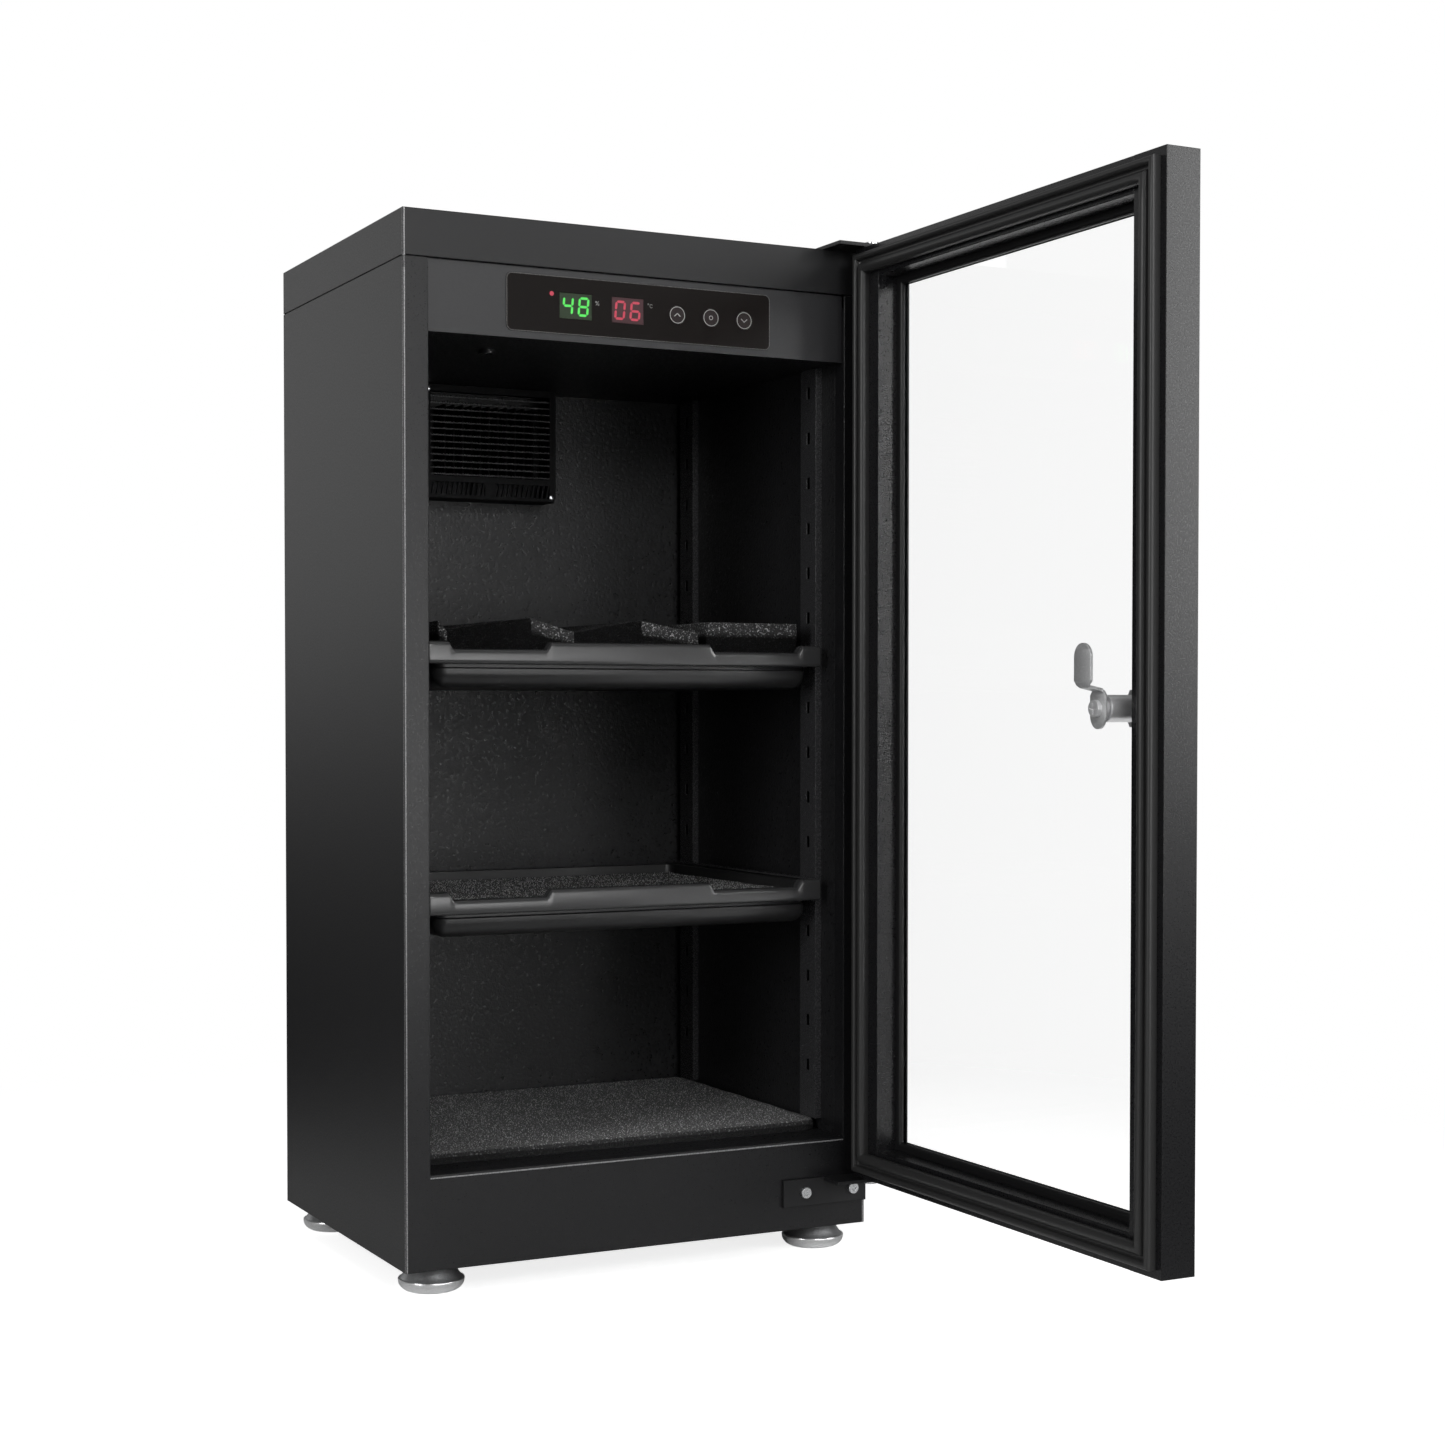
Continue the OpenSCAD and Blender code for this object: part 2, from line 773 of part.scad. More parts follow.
module window_outline(grow) {
    half = [window_w, window_h] / 2 + [grow, grow];
    translate([window_x, fascia_z]) round_rect(-half, half, window_r + grow);
}

module control_fascia() {
    edge_x = open_x - fit;
    inner = [window_w / 2 - window_rim, window_h / 2 - window_rim];
    color(plastic) {
        difference() {
            block([-edge_x, fascia_y, ceiling_z], [edge_x, fascia_y + fascia_t, open_z1 - fit]);
            along_y(fascia_y - overrun, window_y1) window_outline(touch);
            translate([window_x, 0, fascia_z])
                block([-inner.x, fascia_y - overrun, -inner.y],
                      [inner.x, fascia_y + fascia_t + overrun, inner.y]);
        }
        for (x = [-pillar_x, pillar_x], z = [-pillar_z, pillar_z])
            rod_y(pillar_d, window_x + x, fascia_z + z, fascia_y + fascia_t, board_y);
    }
}

module display_window() {
    color("#15110f") difference() {
        along_y(window_y0, window_y1) window_outline(0);
        for (x = [green_x, red_x])
            translate([x, 0, fascia_z])
                block([-digits_face_w / 2 - touch, window_y0 - overrun, -digits_face_h / 2 - touch],
                      [digits_face_w / 2 + touch, window_y1 + overrun, digits_face_h / 2 + touch]);
        for (x = button_x)
            rod_y(button_d + 2 * fit, window_x + x, fascia_z, window_y0 - overrun, window_y1 + overrun);
        rod_y(led_d + 2 * touch, led_x, led_z, window_y0 - overrun, window_y1 + overrun);
    }
}

module digits(x) {
    translate([x, 0, fascia_z]) {
        block([-digits_w / 2, board_y - digits_d, -digits_h / 2], [digits_w / 2, board_y, digits_h / 2]);
        block([-digits_face_w / 2, window_y0 + digits_set, -digits_face_h / 2],
              [digits_face_w / 2, board_y - digits_d, digits_face_h / 2]);
    }
}

module humidity_display() {
    color("#1f5a24") digits(green_x);
}

module temperature_display() {
    color("#6a1a22") digits(red_x);
}

module power_led() {
    color("#c01828") {
        rod_y(led_d, led_x, led_z, window_y0 + digits_set, board_y - led_base_t);
        translate([led_x, 0, led_z])
            block([-led_base / 2, board_y - led_base_t, -led_base / 2],
                  [led_base / 2, board_y, led_base / 2]);
    }
}

module control_board() {
    color("#1d4a2c") {
        translate([window_x, 0, fascia_z])
            block([-board_w / 2, board_y, -board_h / 2], [board_w / 2, board_y + board_t, board_h / 2]);
        for (x = button_x)
            translate([window_x + x, 0, fascia_z]) {
                block([-switch_w / 2, board_y - switch_t, -switch_w / 2],
                      [switch_w / 2, board_y, switch_w / 2]);
                rod_y(button_stem_d, 0, 0, board_y - switch_t - switch_knob, board_y - switch_t);
            }
        translate([window_x + pillar_x - connector.x, board_y + board_t, fascia_z]) cube(connector);
    }
}

// One key: its cap, its collar behind the window and its stem to the switch
module button(x) {
    collar = window_y1 + button_rest_gap;
    stem_end = board_y - switch_t - switch_knob - button_travel - button_rest_gap;
    color("#191412") {
        rod_y(button_d, window_x + x, fascia_z, window_y0 - button_proud, collar + touch);
        rod_y(button_flange_d, window_x + x, fascia_z, collar, collar + button_flange_t);
        rod_y(button_stem_d, window_x + x, fascia_z, collar, stem_end);
    }
}

module humidity_sensor() {
    color("#26272a") difference() {
        union() {
            rod_z(sensor_d, sensor_x, sensor_y, ceiling_z - sensor_t, ceiling_z);
            rod_z(sensor_d - 6 * fit, sensor_x, sensor_y, ceiling_z, ceiling_z + 2 * sensor_t);
        }
        for (x = [-2 * sensor_slot, 0, 2 * sensor_slot])
            translate([sensor_x + x, sensor_y, ceiling_z])
                block([-sensor_slot / 2, -sensor_d / 4, -sensor_t - overrun],
                      [sensor_slot / 2, sensor_d / 4, 0]);
    }
}

module dryer_housing() {
    half = dryer_w / 2;
    in_x = half - dryer_wall;
    color(plastic) translate([dryer_x, 0, 0]) difference() {
        block([-half, dryer_y0 + grille_t, dryer_z0], [half, liner_y1, dryer_z1]);
        block([-in_x, dryer_y0, dryer_z0 + dryer_wall], [in_x, liner_y1 + overrun, dryer_z1 - dryer_wall]);
    }
}

module dryer_grille() {
    half = dryer_w / 2;
    slot_x = half - grille_rim;
    louvre_z0 = dryer_z0 + grille_rim + fin_strip_h;
    step = (dryer_z1 - grille_rim - louvre_z0) / louvre_count;
    slant_step = 2 * slot_x / slant_count;
    strip_z0 = dryer_z0 + grille_rim / 2;
    strip_top = fin_strip_h - grille_rim / 2;
    color(plastic) translate([dryer_x, 0, 0]) difference() {
        block([-half, dryer_y0, dryer_z0], [half, dryer_y0 + grille_t, dryer_z1]);
        for (n = [0 : louvre_count - 1])
            translate([0, dryer_y0, louvre_z0 + n * step])
                block([-slot_x, -overrun, 0], [slot_x, grille_t + overrun, step * louvre_gap_share]);
        along_y(dryer_y0 - overrun, dryer_y0 + grille_t + overrun)
            for (n = [0 : slant_count - 2])
                translate([-slot_x + n * slant_step, strip_z0])
                    polygon([[0, 0], [slant_step / 2, 0], [slant_step / 2 + slant_lean, strip_top],
                             [slant_lean, strip_top]]);
    }
}

// A finned block: its base against one plane, and its fins away from it
module fins(w, h, base, depth, count) {
    step = (w - fin_t) / (count - 1);
    block([-w / 2, -base, -h / 2], [w / 2, 0, h / 2]);
    for (n = [0 : count - 1])
        translate([-w / 2 + n * step, 0, 0])
            block([0, -depth, -h / 2], [fin_t, -base, h / 2]);
}

module dryer_middle(y) {
    translate([dryer_x, y, (dryer_z0 + dryer_z1) / 2]) children();
}

module cold_fins() {
    color("#9a9da0") dryer_middle(y_back - module_t)
        fins(cold_w, cold_h, cold_base, dryer_d - grille_t - module_t, cold_fin_count);
}

module cooling_module() {
    color("#d8d6cf") dryer_middle(0)
        block([-module_w / 2, y_back - module_t, -module_w / 2], [module_w / 2, y_back, module_w / 2]);
}

module heat_sink() {
    color("#9a9da0") dryer_middle(y_back) rotate([0, 0, 180])
        fins(hot_w, hot_h, hot_base, vent_d - vent_wall - fit, hot_fin_count);
}

module rear_vent_cover() {
    half = [vent_w / 2, vent_h / 2];
    in = half - [vent_wall, vent_wall];
    slot_x = in.x - vent_wall;
    step = (2 * in.y - vent_wall) / vent_slot_count;
    color(plastic) dryer_middle(y_back) difference() {
        along_y(0, vent_d) round_rect(-half, half, 2 * vent_wall);
        along_y(-overrun, vent_d - vent_wall) round_rect(-in, in, vent_wall);
        for (n = [0 : vent_slot_count - 1])
            translate([0, 0, vent_wall - in.y + n * step])
                block([-slot_x, vent_d - vent_wall - overrun, 0],
                      [slot_x, vent_d + overrun, vent_gap]);
    }
}

module dc_inlet() {
    color("#222325") difference() {
        union() {
            rod_y(inlet_d, inlet_x, inlet_z, y_back - inlet_len, y_back);
            rod_y(inlet_flange_d, inlet_x, inlet_z, y_back, y_back + sheet_t);
        }
        rod_y(inlet_bore_d, inlet_x, inlet_z, y_back + sheet_t - inlet_depth, y_back + sheet_t + overrun);
    }
    color("silver")
        rod_y(inlet_pin_d, inlet_x, inlet_z, y_back + sheet_t - inlet_depth - touch, y_back);
}

// The outline of the hinge leg round the pin, seen from above
module leg_outline(from_x, back_y) {
    tip = [pivot_x, pivot_y];
    translate(tip) circle(hinge_tip_r);
    translate([from_x, pivot_y]) square([pivot_x + hinge_tip_r - from_x, back_y - pivot_y]);
    translate([from_x, pivot_y - hinge_tip_r]) square([pivot_x - from_x, hinge_tip_r]);
}

module lower_hinge_bracket() {
    leg_x = pivot_x - plate_w + screw_edge;
    color("#26272a") difference() {
        union() {
            block([x_side - bracket_w, y_front - hinge_t, bracket_z1 - bracket_h],
                  [x_side, y_front, bracket_z1]);
            along_z(bracket_z1 - hinge_t, bracket_z1) leg_outline(leg_x, y_front - touch);
        }
        rod_z(hinge_pin_d + 2 * turn_fit, pivot_x, pivot_y, bracket_z1 - hinge_t - overrun,
              bracket_z1 + overrun);
        bracket_screw_places()
            rod_y(screw_d + fastener_fit, 0, 0, y_front - hinge_t - overrun, y_front + overrun);
    }
}

module upper_hinge_plate() {
    z0 = body_z1;
    leg_x = pivot_x - plate_w + screw_edge;
    color("#26272a") difference() {
        along_z(z0, z0 + hinge_t) leg_outline(leg_x, y_front + plate_d);
        rod_z(hinge_pin_d + 2 * turn_fit, pivot_x, pivot_y, z0 - overrun, z0 + hinge_t + overrun);
        plate_screw_places() rod_z(screw_d + fastener_fit, 0, 0, z0 - overrun, z0 + hinge_t + overrun);
    }
}

// One hinge pin, its head at Z zero and its shank upwards
module hinge_pin() {
    shank = hinge_t + touch + bush_flange_t + pin_reach;
    cylinder(d = pin_head_d, h = pin_head_t);
    translate([0, 0, pin_head_t]) cylinder(d = hinge_pin_d, h = shank);
}

module hinge_pins() {
    color("silver") {
        translate([pivot_x, pivot_y, bracket_z1 - hinge_t - pin_head_t]) hinge_pin();
        translate([pivot_x, pivot_y, body_z1 + hinge_t + pin_head_t])
            mirror([0, 0, 1]) hinge_pin();
    }
}

// One cross-head screw, its head above Z zero and its shank below
module screw(length) {
    difference() {
        union() {
            cylinder(d = screw_head_d, h = screw_head_t);
            translate([0, 0, -length]) cylinder(d = screw_d, h = length + touch);
        }
        for (turn = [0, 90])
            rotate([0, 0, turn])
                block([-screw_head_d / 4, -screw_slot / 2, screw_head_t / 2],
                      [screw_head_d / 4, screw_slot / 2, screw_head_t + overrun]);
    }
}

module hinge_screws() {
    color("silver") {
        bracket_screw_places()
            translate([0, y_front - hinge_t, 0]) rotate([90, 0, 0]) screw(screw_len);
        translate([0, 0, body_z1 + hinge_t]) plate_screw_places() screw(screw_len);
    }
}

module panel_screws() {
    color("silver") back_screw_places() rotate([-90, 0, 0]) screw(screw_len);
}

module foot_nuts() {
    color("silver") foot_places()
        difference() {
            along_z(body_z0 + sheet_t, body_z0 + sheet_t + nut_h) hexagon(nut_across);
            rod_z(stud_d + 2 * turn_fit, 0, 0, body_z0, body_z0 + sheet_t + nut_h + overrun);
        }
}

// A round foot with its threaded stud
module foot(x_sign, y_sign) {
    waist = foot_h * foot_waist_share;
    rim = foot_h * foot_rim_share;
    top = foot_h - touch;
    color("#8d8f92") translate([x_sign * foot_x, y_sign * foot_y, 0]) {
        rotate_extrude()
            polygon([[0, 0], [foot_pad_d / 2, 0], [foot_d / 2 - foot_h / 9, rim / 2],
                     [foot_d / 2, rim], [foot_d / 2, waist - foot_step],
                     [foot_d / 2 - foot_step, waist], [foot_top_d / 2, top], [0, top]]);
        rod_z(stud_d, 0, 0, top - foot_step, foot_h + stud_len);
    }
}

// The hollow inside a door member, less a gap at its walls
module member_hollow(width, gap) {
    wall = member_wall + gap;
    step = [width - groove_depth - wall, glass_depth - groove_fit - wall];
    polygon([[wall, wall], [width - wall, wall], [width - wall, step.y],
             [step.x, step.y], [step.x, door_t - wall], [wall, door_t - wall]]);
}

// A hollow door member: X in from the door's edge, Y out from its inner face
module member_outline(width) {
    difference() {
        square([width, door_t]);
        translate([width - groove_depth, glass_depth - groove_fit])
            square([groove_depth + overrun, glass_t + 2 * groove_fit]);
        member_hollow(width, 0);
    }
}

// An outline of a member set in place for the hinge stile, seen from above
module at_hinge_edge() {
    translate([door_x1, door_inner_y]) rotate(180) children();
}

// An outline of a member set in place for the lock stile, seen from above
module at_free_edge() {
    translate([door_x0, door_inner_y]) mirror([0, 1]) children();
}

module door_stile_hinge() {
    color(steel) door_place() along_z(door_z0, door_z1) at_hinge_edge() member_outline(member_w);
}

module door_stile_lock() {
    color(steel) door_place() along_z(door_z0, door_z1) at_free_edge() member_outline(member_w);
}

module door_rail_bottom() {
    color(steel) door_place() along_x(door_x0 + member_w, door_x1 - member_w)
        translate([door_inner_y, door_z0]) rotate(90) member_outline(member_h);
}

module door_rail_top() {
    color(steel) door_place() along_x(door_x0 + member_w, door_x1 - member_w)
        translate([door_inner_y, door_z1]) mirror([0, 1]) rotate(90) member_outline(member_h);
}

// Plugs that close the stiles' ends; the hinge stile's pair carries the bushes
module door_end_blocks() {
    color(plastic) door_place() difference() {
        for (z = [door_z0, door_z1 - block_h])
            along_z(z, z + block_h) {
                at_hinge_edge() member_hollow(member_w, block_gap);
                at_free_edge() member_hollow(member_w, block_gap);
            }
        rod_z(bush_d + 2 * turn_fit, pivot_x, pivot_y, door_z0 - overrun, door_z1 + overrun);
    }
}

// One bush: its flange below Z zero and its sleeve above
module bush() {
    difference() {
        union() {
            translate([0, 0, -bush_flange_t]) cylinder(d = bush_flange_d, h = bush_flange_t);
            cylinder(d = bush_d, h = block_h);
        }
        translate([0, 0, -bush_flange_t - overrun])
            cylinder(d = hinge_pin_d + 2 * turn_fit, h = block_h + bush_flange_t + 2 * overrun);
    }
}

module door_bushes() {
    color("#d9d4c4") door_place() {
        translate([pivot_x, pivot_y, door_z0]) bush();
        translate([pivot_x, pivot_y, door_z1]) mirror([0, 0, 1]) bush();
    }
}

module door_glass() {
    edge = [member_w - glass_edge, member_h - glass_edge];
    color("#9fb4b8", 0.35) door_place() difference() {
        block([door_x0 + edge.x, glass_outer_y, door_z0 + edge.y],
              [door_x1 - edge.x, glass_inner_y, door_z1 - edge.y]);
        rod_y(barrel_d + fastener_fit, lock_x, lock_axis_z, glass_outer_y - overrun,
              glass_inner_y + overrun);
    }
}

// The gasket's ridged outline: Y up from the door frame, Z in from the door's edge
module gasket_outline() {
    last = gasket_ridges * gasket_points;
    base_h = gasket_h - gasket_ridge_r;
    top = [for (n = [0 : last])
        [base_h + gasket_ridge_r * abs(sin(180 * n / gasket_points)),
         gasket_edge + gasket_w * n / last]];
    polygon(concat([[0, gasket_edge]], top, [[0, gasket_edge + gasket_w]]));
}

// One mitred run of the gasket along X, inset from the door's edge at Z zero
module gasket_run(length) {
    deep = gasket_edge + gasket_w + overrun;
    intersection() {
        along_x(0, length) gasket_outline();
        along_y(-overrun, gasket_h + overrun)
            polygon([[0, 0], [length, 0], [length - deep, deep], [deep, deep]]);
    }
}

module door_gasket() {
    color("#232426") door_place() translate([0, door_inner_y, 0]) {
        translate([door_x0, 0, door_z0]) gasket_run(door_w);
        translate([door_x1, 0, door_z1]) rotate([0, 180, 0]) gasket_run(door_w);
        translate([door_x0, 0, door_z1]) rotate([0, 90, 0]) gasket_run(door_h);
        translate([door_x1, 0, door_z0]) rotate([0, -90, 0]) gasket_run(door_h);
    }
}

module lock_barrel() {
    end_y = door_inner_y + barrel_inner;
    color("silver") door_place() difference() {
        union() {
            rod_y(barrel_head_d, lock_x, lock_axis_z, glass_outer_y - barrel_head_t, glass_outer_y);
            rod_y(barrel_d, lock_x, lock_axis_z, glass_outer_y, end_y);
        }
        rod_y(plug_d + 2 * turn_fit, lock_x, lock_axis_z, glass_outer_y - barrel_head_t - overrun,
              end_y + overrun);
    }
}

module lock_nut() {
    color("silver") door_place() difference() {
        along_y(glass_inner_y, glass_inner_y + barrel_nut_t)
            translate([lock_x, lock_axis_z]) hexagon(barrel_nut_across);
        rod_y(barrel_d + fastener_fit, lock_x, lock_axis_z, glass_inner_y - overrun,
              glass_inner_y + barrel_nut_t + overrun);
    }
}

module lock_plug() {
    face_y = glass_outer_y - barrel_head_t;
    foot_y = door_inner_y + cam_depth;
    color("silver") door_place() difference() {
        union() {
            rod_y(plug_d, lock_x, lock_axis_z, face_y, foot_y);
            translate([lock_x, 0, lock_axis_z])
                block([-drive_w / 2, foot_y - overrun, -drive_w / 2],
                      [drive_w / 2, foot_y + cam_t - touch, drive_w / 2]);
        }
        translate([lock_x, 0, lock_axis_z])
            block([-key_slot_w / 2, face_y - overrun, -key_slot_h / 2],
                  [key_slot_w / 2, face_y + key_slot_d, key_slot_h / 2]);
        rod_y(cam_screw_d + fastener_fit, lock_x, lock_axis_z, foot_y + cam_t - cam_screw_len - touch,
              foot_y + cam_t + overrun);
    }
}

// The cam's sheet seen from the side, Y away from the door's inner face, Z from the axis
module cam_side() {
    near = [cam_depth, cam_depth + cam_t];
    far = near + [cam_step, cam_step];
    bend = crank_start + crank_rise;
    polygon([[near[0], -cam_tail], [near[1], -cam_tail], [near[1], crank_start - cam_t],
             [far[1], bend - cam_t], [far[1], cam_reach], [far[0], cam_reach], [far[0], bend],
             [near[0], crank_start]]);
}

module lock_cam() {
    half = cam_w / 2;
    color("#b9bbbd") door_place() translate([lock_x, door_inner_y, lock_axis_z]) difference() {
        intersection() {
            along_x(-half, half) cam_side();
            along_y(0, cam_depth + cam_step + 2 * cam_t)
                round_rect([-half, -cam_tail], [half, cam_reach], cam_w / 4);
        }
        block([-drive_w / 2 - drive_fit, cam_depth - overrun, -drive_w / 2 - drive_fit],
              [drive_w / 2 + drive_fit, cam_depth + cam_t + overrun, drive_w / 2 + drive_fit]);
    }
}

module cam_screw() {
    color("silver") door_place()
        translate([lock_x, door_inner_y + cam_depth + cam_t, lock_axis_z]) rotate([-90, 0, 0])
            difference() {
                union() {
                    cylinder(d = cam_screw_head_d, h = cam_screw_head_t);
                    translate([0, 0, -cam_screw_len]) cylinder(d = cam_screw_d, h = cam_screw_len + touch);
                }
                for (turn = [0, 90])
                    rotate([0, 0, turn])
                        block([-cam_screw_head_d / 3, -screw_slot / 2, cam_screw_head_t / 2],
                              [cam_screw_head_d / 3, screw_slot / 2, cam_screw_head_t + overrun]);
            }
}

side_panel(-1);  // side_panel_left
side_panel(1);  // side_panel_right
back_panel();
base_pan();
front_frame();
top_cap();
inner_liner();
ceiling_panel();
upright(-1, upright_front_y);  // upright_front_left
upright(1, upright_front_y);  // upright_front_right
upright(-1, upright_rear_y);  // upright_rear_left
upright(1, upright_rear_y);  // upright_rear_right
runners(upper_z);  // upper_runners
runners(lower_z);  // lower_runners
control_fascia();
display_window();
humidity_display();
temperature_display();
power_led();
control_board();
humidity_sensor();
dryer_housing();
dryer_grille();
cold_fins();
cooling_module();
heat_sink();
rear_vent_cover();
dc_inlet();
floor_mat();
lower_hinge_bracket();
upper_hinge_plate();
hinge_pins();
hinge_screws();
foot_nuts();
panel_screws();
door_stile_hinge();
door_stile_lock();
door_rail_top();
door_rail_bottom();
door_end_blocks();
door_bushes();
door_glass();
door_gasket();
lock_barrel();
lock_nut();
lock_plug();
lock_cam();
cam_screw();
tray(upper_z);  // upper_tray
wave_foam();
foam_block();
tray(lower_z);  // lower_tray
flat_foam();
button(button_x[0]);  // up_button
button(button_x[1]);  // set_button
button(button_x[2]);  // down_button
foot(-1, -1);  // foot_front_left
foot(1, -1);  // foot_front_right
foot(-1, 1);  // foot_rear_left
foot(1, 1);  // foot_rear_right
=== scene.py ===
"""Looks of a camera dry cabinet: a black steel body, a glazed door that stands open, foam-lined
trays, a lit control strip and a small dryer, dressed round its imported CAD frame."""

import json
import logging
import math
from dataclasses import dataclass, field
from enum import Enum
from typing import Callable, Iterable, Sequence

import bmesh
import bpy
import numpy as np
from mathutils import Euler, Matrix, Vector

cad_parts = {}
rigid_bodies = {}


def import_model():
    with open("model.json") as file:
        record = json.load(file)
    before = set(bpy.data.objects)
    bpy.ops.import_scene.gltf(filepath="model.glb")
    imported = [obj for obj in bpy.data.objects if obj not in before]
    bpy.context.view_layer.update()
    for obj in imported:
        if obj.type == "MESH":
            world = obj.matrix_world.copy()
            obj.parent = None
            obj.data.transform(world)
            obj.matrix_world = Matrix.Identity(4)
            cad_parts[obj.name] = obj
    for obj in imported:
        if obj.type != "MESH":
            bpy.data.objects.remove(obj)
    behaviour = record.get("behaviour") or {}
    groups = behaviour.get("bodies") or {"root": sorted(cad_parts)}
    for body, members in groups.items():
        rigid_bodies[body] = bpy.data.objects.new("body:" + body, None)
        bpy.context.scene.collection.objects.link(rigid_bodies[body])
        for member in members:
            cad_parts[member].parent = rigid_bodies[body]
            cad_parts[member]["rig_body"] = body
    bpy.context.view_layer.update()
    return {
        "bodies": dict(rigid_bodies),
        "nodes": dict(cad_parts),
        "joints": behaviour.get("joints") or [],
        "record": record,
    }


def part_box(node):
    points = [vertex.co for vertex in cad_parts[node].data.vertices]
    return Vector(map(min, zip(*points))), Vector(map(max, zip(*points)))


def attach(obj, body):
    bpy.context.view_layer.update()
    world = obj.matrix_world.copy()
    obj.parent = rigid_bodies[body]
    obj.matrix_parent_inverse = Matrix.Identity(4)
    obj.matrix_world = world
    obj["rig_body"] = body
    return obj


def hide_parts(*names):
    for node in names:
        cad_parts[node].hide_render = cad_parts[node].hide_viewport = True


LOG = logging.getLogger("dry_cabinet")
MM = 0.001
SEED = 7
# Name of the mesh attribute that holds the foam's painted light and shade.
PAINTED_LIGHT = "painted_light"
FINE_MERGE = 1e-9
Colour = tuple[float, float, float]
Point = tuple[float, float, float]
Range = tuple[float, float]
Shape = tuple[np.ndarray, Sequence]


class Slot(Enum):
    """The record's material slots."""

    STEEL = "painted_steel"
    BRIGHT = "bright_steel"
    SATIN = "satin_metal"
    PLASTIC = "black_plastic"
    WINDOW = "display_gloss"
    KEY = "key_gloss"
    GREEN = "green_lens"
    RED = "red_lens"
    BOARD = "board"
    FINS = "heat_sink_metal"
    CERAMIC = "white_ceramic"
    FOAM = "foam"
    SEAL = "seal_rubber"
    BUSH = "bush_plastic"
    GLASS = "clear_glass"


class Side(Enum):
    """The four edges of the door, by where they lie."""

    HINGE = "hinge"
    FREE = "free"
    TOP = "top"
    FOOT = "foot"


# Finishes


def new_group(name: str, inputs: dict[str, str], outputs: dict[str, str]) -> bpy.types.NodeTree:
    """Starts a shader node group with its sockets.

    Args:
        name: Name of the group.
        inputs: Kind of each input socket, by its label.
        outputs: Kind of each output socket, by its label.

    Returns:
        The group.
    """
    tree = bpy.data.node_groups.new(name, "ShaderNodeTree")
    for way, sockets in (("INPUT", inputs), ("OUTPUT", outputs)):
        for label, kind in sockets.items():
            tree.interface.new_socket(label, in_out=way, socket_type="NodeSocket" + kind)
    return tree


def place_group(tree: bpy.types.NodeTree, group: bpy.types.NodeTree,
                **values: float) -> bpy.types.Node:
    """Places an effect group on Object coordinates.

    Args:
        tree: Node tree of the material.
        group: The effect.
        values: Values of the group's own inputs, by label.

    Returns:
        The group's node.
    """
    node = tree.nodes.new("ShaderNodeGroup")
    node.node_tree = group
    place = tree.nodes.new("ShaderNodeTexCoord")
    tree.links.new(place.outputs["Object"], node.inputs["Vector"])
    for label, value in values.items():
        node.inputs[label].default_value = value
    return node


def ramp(tree: bpy.types.NodeTree, source: bpy.types.NodeSocket, start: Range = (0.0, 1.0),
         end: Range = (0.0, 1.0)) -> bpy.types.NodeSocket:
    """Maps one range of a value onto another, held at both ends.

    Args:
        tree: Node tree that the node is added to.
        source: The value.
        start: Range that is read.
        end: Range that comes out.

    Returns:
        The mapped value.
    """
    node = tree.nodes.new("ShaderNodeMapRange")
    for label, value in zip(("From Min", "From Max", "To Min", "To Max"), (*start, *end)):
        node.inputs[label].default_value = value
    tree.links.new(source, node.inputs["Value"])
    return node.outputs["Result"]


def maths(tree: bpy.types.NodeTree, operation: str, first: bpy.types.NodeSocket,
          second: bpy.types.NodeSocket | float, clamp: bool = False) -> bpy.types.NodeSocket:
    """Combines two values.

    Args:
        tree: Node tree that the node is added to.
        operation: Name of the operation.
        first: First value.
        second: Second value, as a socket or a number.
        clamp: Whether the result is kept within nought and one.

    Returns:
        The result.
    """
    node = tree.nodes.new("ShaderNodeMath")
    node.operation = operation
    node.use_clamp = clamp
    tree.links.new(first, node.inputs[0])
    if isinstance(second, float):
        node.inputs[1].default_value = second
    else:
        tree.links.new(second, node.inputs[1])
    return node.outputs[0]


def blend(tree: bpy.types.NodeTree, share: bpy.types.NodeSocket,
          first: Colour | bpy.types.NodeSocket, second: Colour) -> bpy.types.NodeSocket:
    """Blends two colours.

    Args:
        tree: Node tree that the node is added to.
        share: Share of the second colour.
        first: First colour, as a colour or a socket.
        second: Second colour.

    Returns:
        The blended colour.
    """
    node = tree.nodes.new("ShaderNodeMix")
    node.data_type = "RGBA"
    node.inputs["B"].default_value = (*second, 1)
    if isinstance(first, tuple):
        node.inputs["A"].default_value = (*first, 1)
    else:
        tree.links.new(first, node.inputs["A"])
    tree.links.new(share, node.inputs["Factor"])
    return node.outputs["Result"]


def grain_group() -> bpy.types.NodeTree:
    """A fine paint or moulding grain.

    Returns:
        A node group with Vector, Normal, Scale and Depth inputs and Normal and Mask outputs.
    """
    name, relief, middle = "fine_grain", 0.4 * MM, (0.32, 0.68)
    if name in bpy.data.node_groups:
        return bpy.data.node_groups[name]
    tree = new_group(name, {"Vector": "Vector", "Normal": "Vector", "Scale": "Float",
                            "Depth": "Float"}, {"Mask": "Float", "Normal": "Vector"})
    nodes, links = tree.nodes, tree.links
    start, end = nodes.new("NodeGroupInput"), nodes.new("NodeGroupOutput")
    noise = nodes.new("ShaderNodeTexNoise")
    noise.inputs["Detail"].default_value = 4.0
    noise.inputs["Roughness"].default_value = 0.65
    bump = nodes.new("ShaderNodeBump")
    bump.inputs["Distance"].default_value = relief
    links.new(start.outputs["Vector"], noise.inputs["Vector"])
    links.new(start.outputs["Scale"], noise.inputs["Scale"])
    links.new(start.outputs["Depth"], bump.inputs["Strength"])
    links.new(start.outputs["Normal"], bump.inputs["Normal"])
    links.new(noise.outputs["Fac"], bump.inputs["Height"])
    links.new(ramp(tree, noise.outputs["Fac"], middle), end.inputs["Mask"])
    links.new(bump.outputs["Normal"], end.inputs["Normal"])
    return tree


